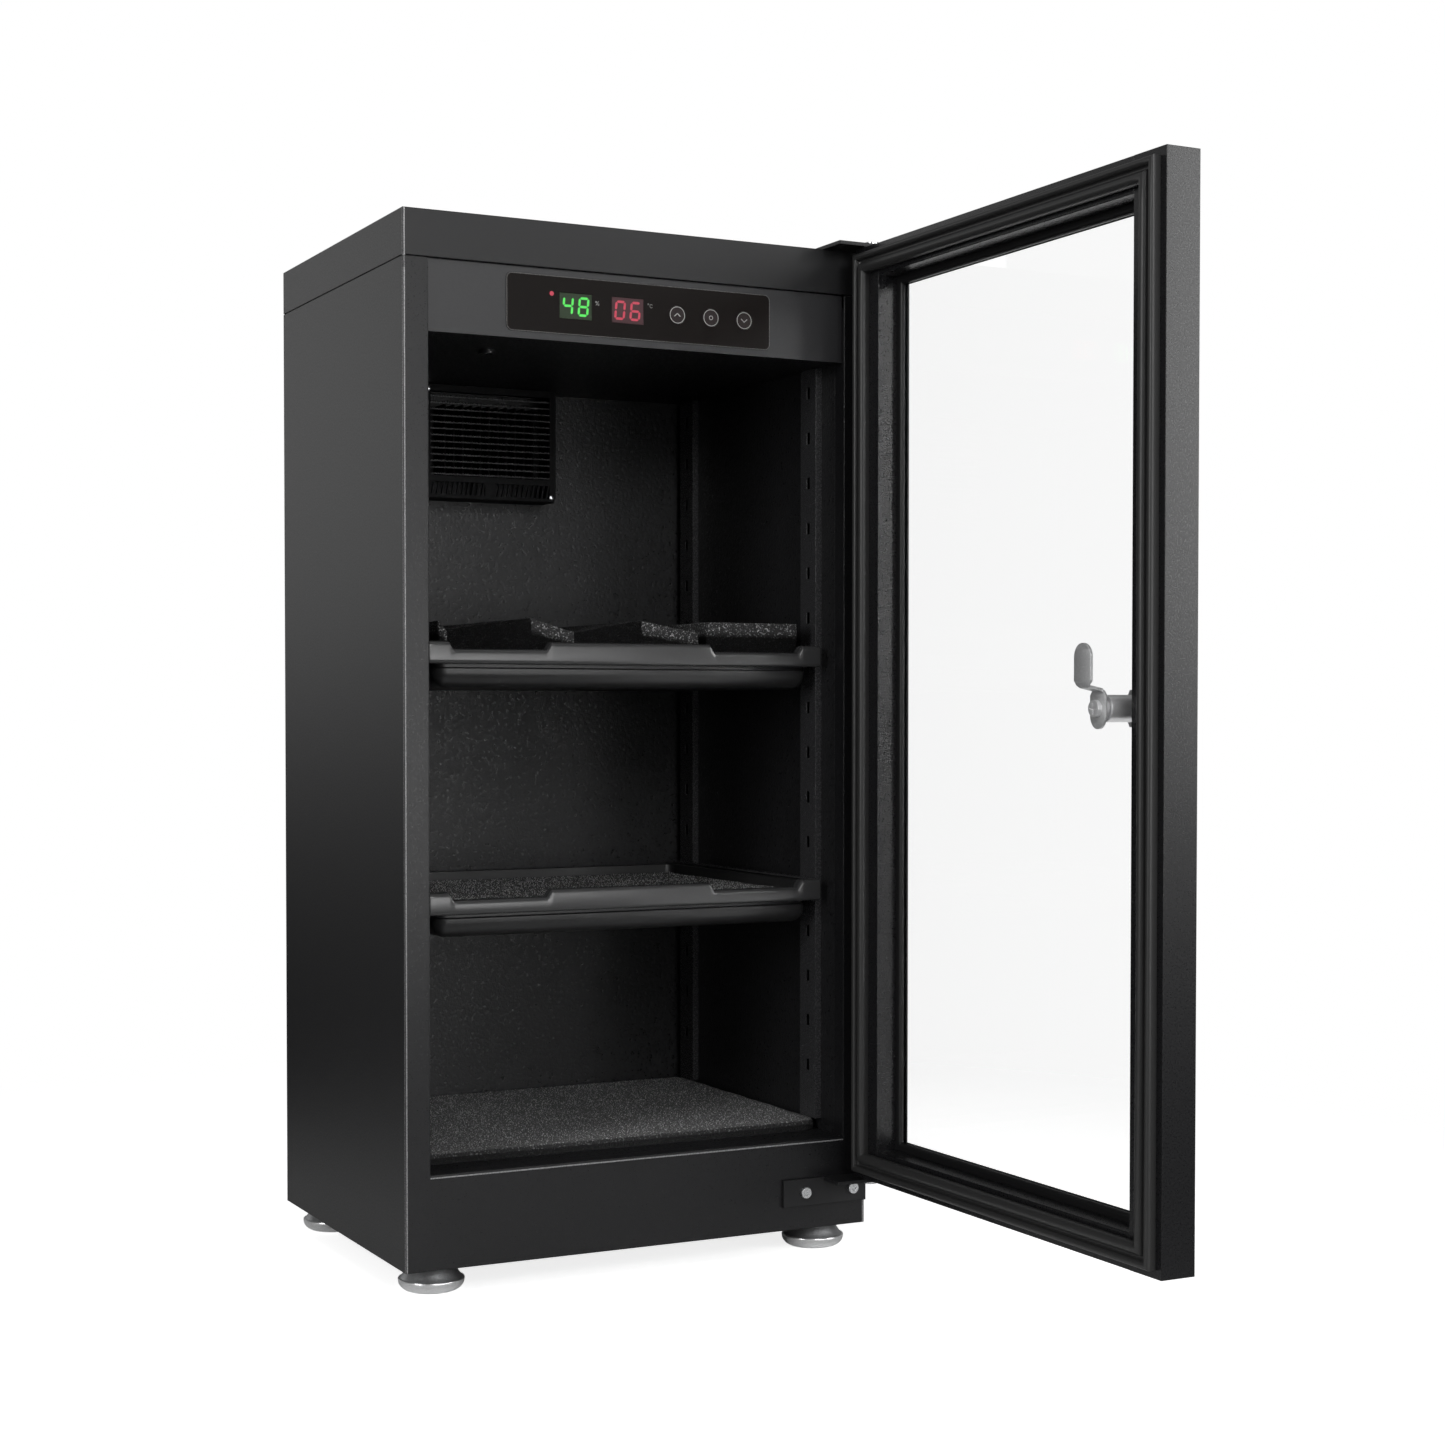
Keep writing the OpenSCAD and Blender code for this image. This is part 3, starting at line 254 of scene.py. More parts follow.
def cell_group() -> bpy.types.NodeTree:
    """Open foam cells: dark pores, and a mask of specks between them for the painted glints.

    Returns:
        A node group with Vector, Scale and Depth inputs and Sparkle and Normal outputs.
    """
    name, relief, bright = "foam_cells", 1.2 * MM, (0.56, 0.70)
    if name in bpy.data.node_groups:
        return bpy.data.node_groups[name]
    tree = new_group(name, {"Vector": "Vector", "Scale": "Float", "Depth": "Float"},
                     {"Sparkle": "Float", "Normal": "Vector"})
    nodes, links = tree.nodes, tree.links
    start, end = nodes.new("NodeGroupInput"), nodes.new("NodeGroupOutput")
    pores = nodes.new("ShaderNodeTexVoronoi")
    pores.feature = "F1"
    fine = nodes.new("ShaderNodeTexNoise")
    fine.inputs["Detail"].default_value = 3.0
    bump = nodes.new("ShaderNodeBump")
    bump.inputs["Distance"].default_value = relief
    bump.invert = True
    for texture in (pores, fine):
        links.new(start.outputs["Vector"], texture.inputs["Vector"])
        links.new(start.outputs["Scale"], texture.inputs["Scale"])
    links.new(pores.outputs["Distance"], bump.inputs["Height"])
    links.new(start.outputs["Depth"], bump.inputs["Strength"])
    links.new(ramp(tree, fine.outputs["Fac"], bright), end.inputs["Sparkle"])
    links.new(bump.outputs["Normal"], end.inputs["Normal"])
    return tree


@dataclass(frozen=True)
class Surface:
    """A finish that makes its material once.

    Attributes:
        name: Name of the material.
    """

    name: str

    def material(self) -> bpy.types.Material:
        """Returns the finish's material, made once."""
        if self.name in bpy.data.materials:
            return bpy.data.materials[self.name]
        mat = bpy.data.materials.new(self.name)
        mat.use_nodes = True
        self.wire(mat.node_tree, mat.node_tree.nodes["Principled BSDF"])
        return mat

    def wire(self, tree: bpy.types.NodeTree, shader: bpy.types.Node) -> None:
        """Adds the finish's own nodes to its material."""
        raise NotImplementedError


@dataclass(frozen=True)
class Finish(Surface):
    """A plain painted, moulded or metal finish with a fine grain.

    Attributes:
        base: Linear base colour.
        rough: Middle roughness.
        rough_swing: How far the grain moves the roughness either way.
        metallic: Zero for paint and plastic, one for bare metal.
        specular: Specular level of the shader.
        grain: Grain cells per metre.
        depth: Strength of the grain's bump.
        tint: Share by which the base colour varies with the grain.
        edge: Radius by which edges look rounded, in metres.
    """

    base: Colour
    rough: float = 0.4
    rough_swing: float = 0.06
    metallic: float = 0.0
    specular: float = 0.5
    grain: float = 900.0
    depth: float = 0.15
    tint: float = 0.12
    edge: float = 0.5 * MM

    def wire(self, tree: bpy.types.NodeTree, shader: bpy.types.Node) -> None:
        """Leads the grain to the colour, the roughness and the normal."""
        shader.inputs["Metallic"].default_value = self.metallic
        shader.inputs["Specular IOR Level"].default_value = self.specular
        rounded = tree.nodes.new("ShaderNodeBevel")
        rounded.samples = 4
        rounded.inputs["Radius"].default_value = self.edge
        grain = place_group(tree, grain_group(), Scale=self.grain, Depth=self.depth)
        mask = grain.outputs["Mask"]
        dark = tuple(c * (1 - self.tint) for c in self.base)
        light = tuple(min(c * (1 + self.tint), 1) for c in self.base)
        swing = (max(self.rough - self.rough_swing, 0.0), self.rough + self.rough_swing)
        tree.links.new(rounded.outputs["Normal"], grain.inputs["Normal"])
        tree.links.new(grain.outputs["Normal"], shader.inputs["Normal"])
        tree.links.new(ramp(tree, mask, end=swing), shader.inputs["Roughness"])
        tree.links.new(blend(tree, mask, dark, light), shader.inputs["Base Color"])


@dataclass(frozen=True)
class FoamFinish(Surface):
    """Dark open-cell foam with bright painted glints as specks, painted light on its upper
    faces, and painted shade on its cut sides and on slopes that face away from the light.

    Attributes:
        pore: Colour of the pores in painted shade, as on a cut side.
        lit_pore: Colour of the pores in painted light, as on an upper face.
        thread: Colour of the painted glints on the threads.
        cells: Cells per metre.
        depth: Strength of the bump.
        side_share: Share of painted light on a cut side beside an upper face.
        shade_share: Share of painted light on a cut side where the painted light mask is nought.
        laid_share: Share of painted light that an upper face keeps where the painted light mask is
            nought.
        slope: Upward parts of the normal from a cut side to an upper face.
        lying: Upward parts of the normal from a slope to a face that lies flat.
        light_range: Values of the painted light mask from painted shade to painted light.
        rough: Roughness.
        specular: Specular level of the shader.
    """

    pore: Colour = (0.003, 0.003, 0.0032)
    lit_pore: Colour = (0.07, 0.07, 0.071)
    thread: Colour = (0.16, 0.16, 0.165)
    cells: float = 620.0
    depth: float = 0.9
    side_share: float = 0.15
    shade_share: float = 0.03
    laid_share: float = 0.40
    slope: Range = (0.55, 1.0)
    lying: Range = (0.9, 1.0)
    light_range: Range = (0.78, 0.88)
    rough: float = 0.85
    specular: float = 0.12

    def wire(self, tree: bpy.types.NodeTree, shader: bpy.types.Node) -> None:
        """Leads the cells to the colour and the normal; the painted light mask and the slope set
        how much painted light the colour gets.
        """
        shader.inputs["Roughness"].default_value = self.rough
        shader.inputs["Specular IOR Level"].default_value = self.specular
        cells = place_group(tree, cell_group(), Scale=self.cells, Depth=self.depth)
        facing = tree.nodes.new("ShaderNodeNewGeometry")
        parts = tree.nodes.new("ShaderNodeSeparateXYZ")
        painted_light = tree.nodes.new("ShaderNodeAttribute")
        painted_light.attribute_name = PAINTED_LIGHT
        tree.links.new(facing.outputs["Normal"], parts.inputs["Vector"])
        up = parts.outputs["Z"]
        # Painted light and shade: the mask and the upward slope choose between the shaded and the
        # lit pore colour and let the glints in.
        lit_share = maths(tree, "MULTIPLY", ramp(tree, up, self.slope, (self.side_share, 1.0)),
                       ramp(tree, painted_light.outputs["Fac"], self.light_range, (self.shade_share, 1.0)))
        light_share = maths(tree, "MAXIMUM", lit_share,
                       ramp(tree, up, self.lying, (0.0, self.laid_share)))
        ground = blend(tree, light_share, self.pore, self.lit_pore)
        thin = maths(tree, "MULTIPLY", cells.outputs["Sparkle"], light_share)
        tree.links.new(blend(tree, thin, ground, self.thread), shader.inputs["Base Color"])
        tree.links.new(cells.outputs["Normal"], shader.inputs["Normal"])


@dataclass(frozen=True)
class LitFinish(Surface):
    """A lamp or display segment that glows.

    Attributes:
        colour: Colour of the glow.
        strength: Strength of the glow.
        base: Colour of the unlit surface.
        faint: Share of the glow that its dimmest grains keep.
        grain: Grain cells per metre.
    """

    colour: Colour
    strength: float
    base: Colour = (0.02, 0.02, 0.02)
    faint: float = 0.8
    grain: float = 700.0

    def wire(self, tree: bpy.types.NodeTree, shader: bpy.types.Node) -> None:
        """Leads the grain to the glow."""
        shader.inputs["Base Color"].default_value = (*self.base, 1)
        shader.inputs["Emission Strength"].default_value = self.strength
        grain = place_group(tree, grain_group(), Scale=self.grain)
        dim = tuple(c * self.faint for c in self.colour)
        tree.links.new(blend(tree, grain.outputs["Mask"], dim, self.colour),
                       shader.inputs["Emission Color"])


@dataclass(frozen=True)
class GlassFinish(Surface):
    """Clear float glass with a faint unevenness.

    Attributes:
        tint: Colour of the glass.
        ior: Index of refraction.
        waves: Waves of the unevenness per metre.
        depth: Strength of the unevenness.
    """

    tint: Colour = (0.998, 1.0, 0.999)
    ior: float = 1.3
    waves: float = 4.0
    depth: float = 0.02

    def wire(self, tree: bpy.types.NodeTree, shader: bpy.types.Node) -> None:
        """Sets the glass and leads the unevenness to the normal."""
        shader.inputs["Transmission Weight"].default_value = 1.0
        shader.inputs["IOR"].default_value = self.ior
        shader.inputs["Roughness"].default_value = 0.0
        shader.inputs["Base Color"].default_value = (*self.tint, 1)
        facing = tree.nodes.new("ShaderNodeNewGeometry")
        grain = place_group(tree, grain_group(), Scale=self.waves, Depth=self.depth)
        tree.links.new(facing.outputs["Normal"], grain.inputs["Normal"])
        tree.links.new(grain.outputs["Normal"], shader.inputs["Normal"])


BODY_PAINT = Finish("body_paint", (0.0100, 0.0100, 0.0110), rough=0.44, specular=0.40, depth=0.10,
                    edge=1.0 * MM)
# Light grey on the black body: a painted highlight along the folded corners and the foot rail's
# edge.
FOLD_HIGHLIGHT = Finish("fold_highlight", (0.24, 0.24, 0.245), rough=0.28, specular=0.9, depth=0.05)
FRONT_PAINT = Finish("front_paint", (0.0100, 0.0100, 0.0110), rough=0.32, specular=0.40, depth=0.10,
                     edge=1.2 * MM)
LINING_PAINT = Finish("lining_paint", (0.0120, 0.0120, 0.0130), rough=0.37, rough_swing=0.13,
                      specular=0.45, grain=430, depth=0.9, tint=0.5)
UPRIGHT_PAINT = Finish("upright_paint", (0.034, 0.034, 0.036), rough=0.26, specular=0.7, depth=0.10)
# Light grey line round the display window: a painted highlight on its bevelled edge.
WINDOW_RIM_HIGHLIGHT = Finish("panel_rim_highlight", (0.16, 0.155, 0.15), rough=0.28, specular=0.6, depth=0.05)
FIN_BLACK = Finish("fin_black", (0.002, 0.002, 0.0022), rough=0.7, specular=0.05, depth=0.10)
DOOR_PAINT = Finish("door_paint", (0.0095, 0.0095, 0.0105), rough=0.30, specular=0.45, depth=0.08)
TRAY_PLASTIC = Finish("tray_plastic", (0.042, 0.042, 0.043), rough=0.25, rough_swing=0.015,
                      specular=0.8, depth=0.03, tint=0.04)
# The rail's plastic made darker for the pan: painted shade under the rail.
PAN_SHADED_PLASTIC = Finish("pan_shaded_plastic", (0.017, 0.017, 0.0175), rough=0.34, specular=0.5, depth=0.08,
                     tint=0.04)
FASCIA_PLASTIC = Finish("fascia_plastic", (0.022, 0.022, 0.024), rough=0.42, depth=0.12)
DRYER_PLASTIC = Finish("dryer_plastic", (0.010, 0.010, 0.011), rough=0.34, depth=0.12)
GRILLE_PLASTIC = Finish("grille_plastic", (0.005, 0.005, 0.0055), rough=0.6, specular=0.15,
                        depth=0.12)
# A lighter copy of the grille's black plastic: painted highlight on the louvre blades.
BLADE_LIT_PLASTIC = Finish("blade_lit_plastic", (0.060, 0.060, 0.062), rough=0.26, specular=0.7, depth=0.05)
WINDOW_GLOSS = Finish("window_gloss", (0.0080, 0.0058, 0.0050), rough=0.30, rough_swing=0.02,
                      specular=0.14, depth=0.02)
KEY_GLOSS = Finish("key_gloss", (0.0090, 0.0065, 0.0055), rough=0.28, rough_swing=0.02,
                   specular=0.25, depth=0.02)
SEAL_RUBBER = Finish("seal_rubber", (0.110, 0.110, 0.112), rough=0.42, specular=1.0, depth=0.12)
BEAD_RUBBER = Finish("bead_rubber", (0.010, 0.010, 0.0105), rough=0.40, specular=0.4, depth=0.12)
CHROME = Finish("lock_chrome", (0.86, 0.87, 0.88), rough=0.27, rough_swing=0.03, metallic=1.0,
                depth=0.05, tint=0.04)
LOCK_NICKEL = Finish("lock_nickel", (0.84, 0.84, 0.85), rough=0.36, rough_swing=0.03,
                     metallic=0.45, specular=0.9, depth=0.05, tint=0.04)
ZINC = Finish("cam_zinc", (0.60, 0.605, 0.61), rough=0.48, metallic=0.5, depth=0.25, tint=0.12)
FOOT_SATIN = Finish("foot_satin", (0.50, 0.505, 0.515), rough=0.46, metallic=1.0, depth=0.12)
FOOT_CHROME = Finish("foot_chrome", (0.92, 0.925, 0.93), rough=0.30, rough_swing=0.03,
                     metallic=1.0, depth=0.05, tint=0.04)
SINK_METAL = Finish("sink_metal", (0.30, 0.305, 0.31), rough=0.38, metallic=1.0, depth=0.15)
BOARD_GREEN = Finish("board_green", (0.015, 0.10, 0.04), rough=0.35, depth=0.1)
CERAMIC = Finish("module_ceramic", (0.78, 0.77, 0.73), rough=0.5, depth=0.1)
BUSH_PLASTIC = Finish("bush_plastic", (0.70, 0.67, 0.60), rough=0.4, depth=0.1)
PRINT_WHITE = Finish("panel_print", (0.62, 0.62, 0.60), rough=0.5, depth=0.05)
SEGMENT_BED_GREEN = Finish("segment_bed_green", (0.035, 0.055, 0.030), rough=0.4, specular=0.2,
                           depth=0.03)
SEGMENT_BED_RED = Finish("segment_bed_red", (0.085, 0.040, 0.045), rough=0.4, specular=0.2,
                         depth=0.03)
# Both foams: painted light and shade by slope and facing, with bright painted glints on the
# threads.
FOAM = FoamFinish("cut_foam", thread=(0.80, 0.80, 0.805), cells=900.0, side_share=0.60)
MAT_FOAM = FoamFinish("mat_foam", pore=(0.02, 0.02, 0.0205), lit_pore=(0.15, 0.15, 0.151),
                      thread=(0.90, 0.90, 0.90), cells=800.0)
# Near-white thread ends on black foam: painted glints.
FOAM_THREAD_GLINT = Finish("foam_thread_glint", (0.80, 0.80, 0.805), rough=0.6, specular=0.3, depth=0.05)
GLOW_GREEN = LitFinish("glow_green", (0.10, 1.0, 0.12), 0.9)
GLOW_RED = LitFinish("glow_red", (1.0, 0.06, 0.13), 0.6)
GLASS = GlassFinish("clear_float_glass")


# Mesh helpers


def add_mesh(name: str, verts: np.ndarray, faces: Sequence[Sequence[int]], body: str,
             finish: Surface, slot: Slot, replaced: Iterable[str] = (), angle: float = 40.0,
             merge: float = 1e-6) -> bpy.types.Object:
    """Makes a finished piece from arrays and puts it on a body.

    Args:
        name: Name of the piece.
        verts: Points in metres, one row each.
        faces: Corner numbers of each face.
        body: CAD body that the piece rides on.
        finish: Finish whose material the piece gets.
        slot: Material slot of the record; not used.
        replaced: CAD nodes that the piece stands for.
        angle: Edges sharper than this many degrees stay sharp.
        merge: Distance within which points are joined.

    Returns:
        The piece.
    """
    mesh = bpy.data.meshes.new(name)
    mesh.from_pydata(np.asarray(verts, float).tolist(), [], [list(f) for f in faces])
    shape = bmesh.new()
    shape.from_mesh(mesh)
    bmesh.ops.remove_doubles(shape, verts=shape.verts, dist=merge)
    bmesh.ops.recalc_face_normals(shape, faces=shape.faces)
    shape.to_mesh(mesh)
    shape.free()
    obj = bpy.data.objects.new(name, mesh)
    bpy.context.scene.collection.objects.link(obj)
    return dress(obj, body, finish, replaced, angle)


def dress(obj: bpy.types.Object, body: str, finish: Surface,
          replaced: Iterable[str] = (), angle: float = 40.0) -> bpy.types.Object:
    """Gives a piece its material, shading and body.

    Args:
        obj: The piece.
        body: CAD body that it rides on.
        finish: Its finish.
        replaced: CAD nodes that it stands for.
        angle: Edges sharper than this many degrees stay sharp.

    Returns:
        The piece.
    """
    obj.data.materials.clear()
    obj.data.materials.append(finish.material())
    obj.data.shade_smooth()
    obj.data.set_sharp_from_angle(angle=math.radians(angle))
    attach(obj, body)
    if replaced:
        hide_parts(*replaced)
    LOG.info("piece %s on %s", obj.name, body)
    return obj


def softened(frame: dict, node: str, finish: Surface, width: float,
             segments: int = 2) -> bpy.types.Object:
    """A copy of a CAD node with its edges rounded, which stands for the node.

    Args:
        frame: The loaded frame.
        node: Name of the CAD node.
        finish: Finish of the copy.
        width: Radius of the rounded edges, in metres.
        segments: Faces across each rounded edge.

    Returns:
        The copy.
    """
    source = frame["nodes"][node]
    mesh = source.data.copy()
    shape = bmesh.new()
    shape.from_mesh(mesh)
    bmesh.ops.remove_doubles(shape, verts=shape.verts, dist=2e-6)
    bmesh.ops.dissolve_limit(shape, angle_limit=math.radians(0.6), verts=shape.verts,
                             edges=shape.edges)
    shape.to_mesh(mesh)
    shape.free()
    obj = bpy.data.objects.new(node + "_finished", mesh)
    bpy.context.scene.collection.objects.link(obj)
    dress(obj, source["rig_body"], finish, (node,), angle=30.0)
    bevel = obj.modifiers.new("soft_edges", "BEVEL")
    bevel.width = width
    bevel.segments = segments
    bevel.limit_method = "ANGLE"
    bevel.angle_limit = math.radians(35)
    bevel.use_clamp_overlap = True
    bevel.harden_normals = True
    return obj


def grid_faces(rows: int, cols: int, close_cols: bool = False) -> np.ndarray:
    """Four-cornered faces of a grid whose points are numbered row by row.

    Args:
        rows: Number of rows.
        cols: Number of points in a row.
        close_cols: Whether the last column joins the first.

    Returns:
        One row of four corner numbers for each face.
    """
    r = np.arange(rows - 1)
    c = np.arange(cols if close_cols else cols - 1)
    rr, cc = np.meshgrid(r, c, indexing="ij")
    r1, c1 = rr + 1, (cc + 1) % cols
    return np.stack([rr * cols + cc, r1 * cols + cc, r1 * cols + c1, rr * cols + c1],
                    -1).reshape(-1, 4)


def capped(rings: np.ndarray) -> Shape:
    """Closes a tube of rings at both ends.

    Args:
        rings: Points by ring, place round the ring, and axis.

    Returns:
        Points and faces.
    """
    n, m = rings.shape[:2]
    ends = [list(range(m)), list(range((n - 1) * m, n * m))]
    return rings.reshape(-1, 3), grid_faces(n, m, close_cols=True).tolist() + ends


def prism(loop: np.ndarray, axis: int, start: float, end: float) -> Shape:
    """A loop carried straight along an axis and closed at both ends.

    Args:
        loop: Points in the two other axes, in their order.
        axis: Number of the axis.
        start: Where it starts.
        end: Where it ends.

    Returns:
        Points and faces.
    """
    n = len(loop)
    verts = np.empty((2 * n, 3))
    verts[:, [i for i in range(3) if i != axis]] = np.tile(loop, (2, 1))
    verts[:n, axis], verts[n:, axis] = start, end
    k = np.arange(n)
    faces = np.stack([k, (k + 1) % n, n + (k + 1) % n, n + k], -1).tolist()
    return verts, faces + [k.tolist(), (n + k).tolist()]


def joined(shapes: Iterable[Shape]) -> Shape:
    """Joins shapes into one.

    Args:
        shapes: Points and faces of each.

    Returns:
        Points and faces of them all.
    """
    verts, faces, start = [], [], 0
    for points, corners in shapes:
        verts.append(points)
        faces += [[i + start for i in face] for face in corners]
        start += len(points)
    return np.concatenate(verts), faces


def lathe(profile: np.ndarray, centre: tuple[float, float], turns: int = 96) -> Shape:
    """A closed body of revolution about a vertical axis.

    Each point of the profile (radius, height) is carried round the axis, so that a point is
    (cx + r cos a, cy + r sin a, z). Its ends lie on the axis.

    Args:
        profile: Radius and height of each point, from the foot up.
        centre: X and Y of the axis.
        turns: Number of steps round.

    Returns:
        Points and faces.
    """
    a = np.linspace(0, 2 * np.pi, turns, endpoint=False)
    r, z = profile[:, 0][:, None], profile[:, 1][:, None]
    verts = np.stack([centre[0] + r * np.cos(a), centre[1] + r * np.sin(a),
                      np.broadcast_to(z, (len(profile), turns))], -1).reshape(-1, 3)
    return verts, grid_faces(len(profile), turns, close_cols=True)


def packed_steps(low: float, high: float, count: int, lip: float) -> np.ndarray:
    """Steps from low to high that crowd together within a lip of either end.

    Args:
        low: First value.
        high: Last value.
        count: Number of even steps between the two lips.
        lip: Width of the crowded band at each end.

    Returns:
        The values in order.
    """
    crowd = lip * np.array([0.0, 0.06, 0.2, 0.42, 0.7])
    inner = np.linspace(low + lip, high - lip, count)
    return np.concatenate([low + crowd, inner, high - crowd[::-1]])


def slab(low: tuple, high: tuple, height: Callable, lip: float, corner: float,
         counts: tuple[int, int]) -> Shape:
    """A closed cut of foam: a height field over a rectangle with round corners.

    Width at a distance d from the front or back edge is reduced by r - sqrt(r^2 - (r-d)^2),
    which rounds the corners. The top falls away towards its edge in the same way, by the lip.

    Args:
        low: Lowest x, y and z.
        high: Highest x and y.
        height: Top height as a function of x and y arrays.
        lip: Rounding of the top edge.
        corner: Radius of the corners seen from above.
        counts: Steps along x and y.

    Returns:
        Points and faces.
    """
    (x0, y0, z0), (x1, y1) = low, high
    ys = packed_steps(y0, y1, counts[1], max(lip, corner))
    xs = packed_steps(-1.0, 1.0, counts[0], 2 * lip / (x1 - x0))
    edge = np.minimum(np.minimum(ys - y0, y1 - ys), corner)
    half = (x1 - x0) / 2 - (corner - np.sqrt(corner**2 - (corner - edge) ** 2))
    x = (x0 + x1) / 2 + half[:, None] * xs[None, :]
    y = np.broadcast_to(ys[:, None], x.shape)
    side = half[:, None] * (1 - np.abs(xs[None, :]))
    near = np.minimum(np.minimum(side, np.minimum(y - y0, y1 - y)), lip)
    drop = lip - np.sqrt(lip**2 - (lip - near) ** 2)
    z = height(x, y) - drop
    rows, cols = x.shape
    top = np.stack([x, y, z], -1).reshape(-1, 3)
    faces = [list(f) for f in grid_faces(rows, cols)]
    ring = np.concatenate([np.arange(cols), np.arange(1, rows) * cols + cols - 1,
                           (rows - 1) * cols + np.arange(cols - 2, -1, -1),
                           np.arange(rows - 2, 0, -1) * cols])
    foot = top[ring].copy()
    foot[:, 2] = z0
    n, m = len(top), len(ring)
    k = np.arange(m)
    faces += np.stack([ring[k], ring[(k + 1) % m], n + (k + 1) % m, n + k], -1).tolist()
    faces.append((n + k).tolist())
    return np.concatenate([top, foot]), faces


def ripple(x: np.ndarray, y: np.ndarray, size: float, amount: float) -> np.ndarray:
    """A small uneven height made of crossed sines of unlike lengths.

    Args:
        x: X of each point.
        y: Y of each point.
        size: Length of the longest ripple.
        amount: Height of the ripple.

    Returns:
        The height at each point.
    """
    k = 2 * np.pi / size
    return amount * (np.sin(k * x + 1.3) * np.cos(0.8 * k * y)
                     + 0.5 * np.sin(2.7 * k * x + 2.1 * k * y)
                     + 0.35 * np.cos(5.1 * k * y - 3.3 * k * x)) / 1.85


# Sub-assemblies


@dataclass
class Body:
    """The steel shell, its lining, uprights, runners, screws and feet.

    Attributes:
        frame: The loaded frame.
        fold: Radius of the folds at the front corners and under the opening.
        foot_height: Height of a foot.
        foot_spots: X and Y of each foot, by its node.
    """

    frame: dict
    fold: float = 1.1 * MM
    foot_height: float = 18 * MM
    foot_spots: dict = field(default_factory=lambda: {
        "foot_front_left": (-144 * MM, -102 * MM), "foot_front_right": (144 * MM, -102 * MM),
        "foot_rear_left": (-144 * MM, 102 * MM), "foot_rear_right": (144 * MM, 102 * MM)})

    def build(self) -> None:
        """Dresses the shell and makes the feet."""
        for node, finish in (("side_panel_left", BODY_PAINT), ("side_panel_right", BODY_PAINT),
                             ("back_panel", LINING_PAINT), ("base_pan", BODY_PAINT),
                             ("front_frame", FRONT_PAINT), ("top_cap", BODY_PAINT),
                             ("inner_liner", LINING_PAINT), ("ceiling_panel", LINING_PAINT),
                             ("lower_hinge_bracket", BODY_PAINT),
                             ("upper_hinge_plate", BODY_PAINT)):
            keep(self.frame, node, finish)
        for node in ("upright_front_left", "upright_front_right", "upright_rear_left",
                     "upright_rear_right", "upper_runners", "lower_runners"):
            keep(self.frame, node, UPRIGHT_PAINT)
        for node in ("hinge_screws", "panel_screws", "hinge_pins", "foot_nuts"):
            keep(self.frame, node, CHROME)
        self.folds()
        self.feet()

    def folds(self) -> None:
        """Makes the round of the folds up both front corners and along the foot rail's top, in
        light grey as a painted highlight.
        """
        low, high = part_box("front_frame")
        cap_low, cap_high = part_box("top_cap")
        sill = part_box("inner_liner")[0].z
        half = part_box("inner_liner")[1].x - 1 * MM
        a = np.linspace(0, 2 * np.pi, 17)[:-1]
        turn = np.stack([np.cos(a), np.sin(a)], -1) * self.fold
        inset = self.fold - 0.1 * MM
        runs = [(turn + np.array([side * (high.x - inset), low.y + inset]), 2, z0, z1)
                for side in (-1, 1)
                for z0, z1 in ((low.z, high.z), (cap_low.z, cap_high.z - 0.1 * MM))]
        runs.append((turn + np.array([low.y + inset, sill - inset]), 0, -half, half))
        add_mesh("front_folds", *joined(prism(*run) for run in runs), "cabinet", FOLD_HIGHLIGHT,
                 Slot.STEEL, angle=50, merge=FINE_MERGE)

    def feet(self) -> None:
        """Makes the four feet: a satin cone that flares into a bright rolled rim."""
        h = self.foot_height
        a = np.linspace(0, np.pi / 2, 13)
        rim = np.concatenate([[(0, 0), (13.6, 0)],
                              np.stack([14.2 + 7.6 * np.sin(a), 6.9 - 6.8 * np.cos(a)], -1),
                              [(21.9, 7.5), (21.6, 8.1), (20.9, 8.3), (0, 8.3)]]) * MM
        t = np.linspace(0, 1, 9)
        flare = np.stack([20.9 - 6.5 * t**0.8, 8.2 + 9.4 * t], -1)
        cone = np.concatenate([[(0, 8.0), (20.6, 8.0)], flare, [(14.0, 18.0), (0, 18.0)]]) * MM
        for node, spot in self.foot_spots.items():
            add_mesh(node + "_cone", *lathe(cone, spot), node, FOOT_SATIN, Slot.SATIN, (node,))
            add_mesh(node + "_rim", *lathe(rim, spot), node, FOOT_CHROME, Slot.SATIN)
            stud = np.array([(0, h - 1 * MM), (4 * MM, h - 1 * MM), (4 * MM, h + 13.4 * MM),
                             (3.4 * MM, h + 14 * MM), (0, h + 14 * MM)])
            add_mesh(node + "_stud", *lathe(stud, spot, 32), node, CHROME, Slot.SATIN)


def keep(frame: dict, node: str, finish: Surface) -> bpy.types.Object:
    """Gives a CAD node that is shown as it is its finish.

    Args:
        frame: The loaded frame.
        node: Name of the node.
        finish: Its finish.

    Returns:
        The node's object.
    """
    obj = frame["nodes"][node]
    obj.data.materials.clear()
    obj.data.materials.append(finish.material())
    return obj


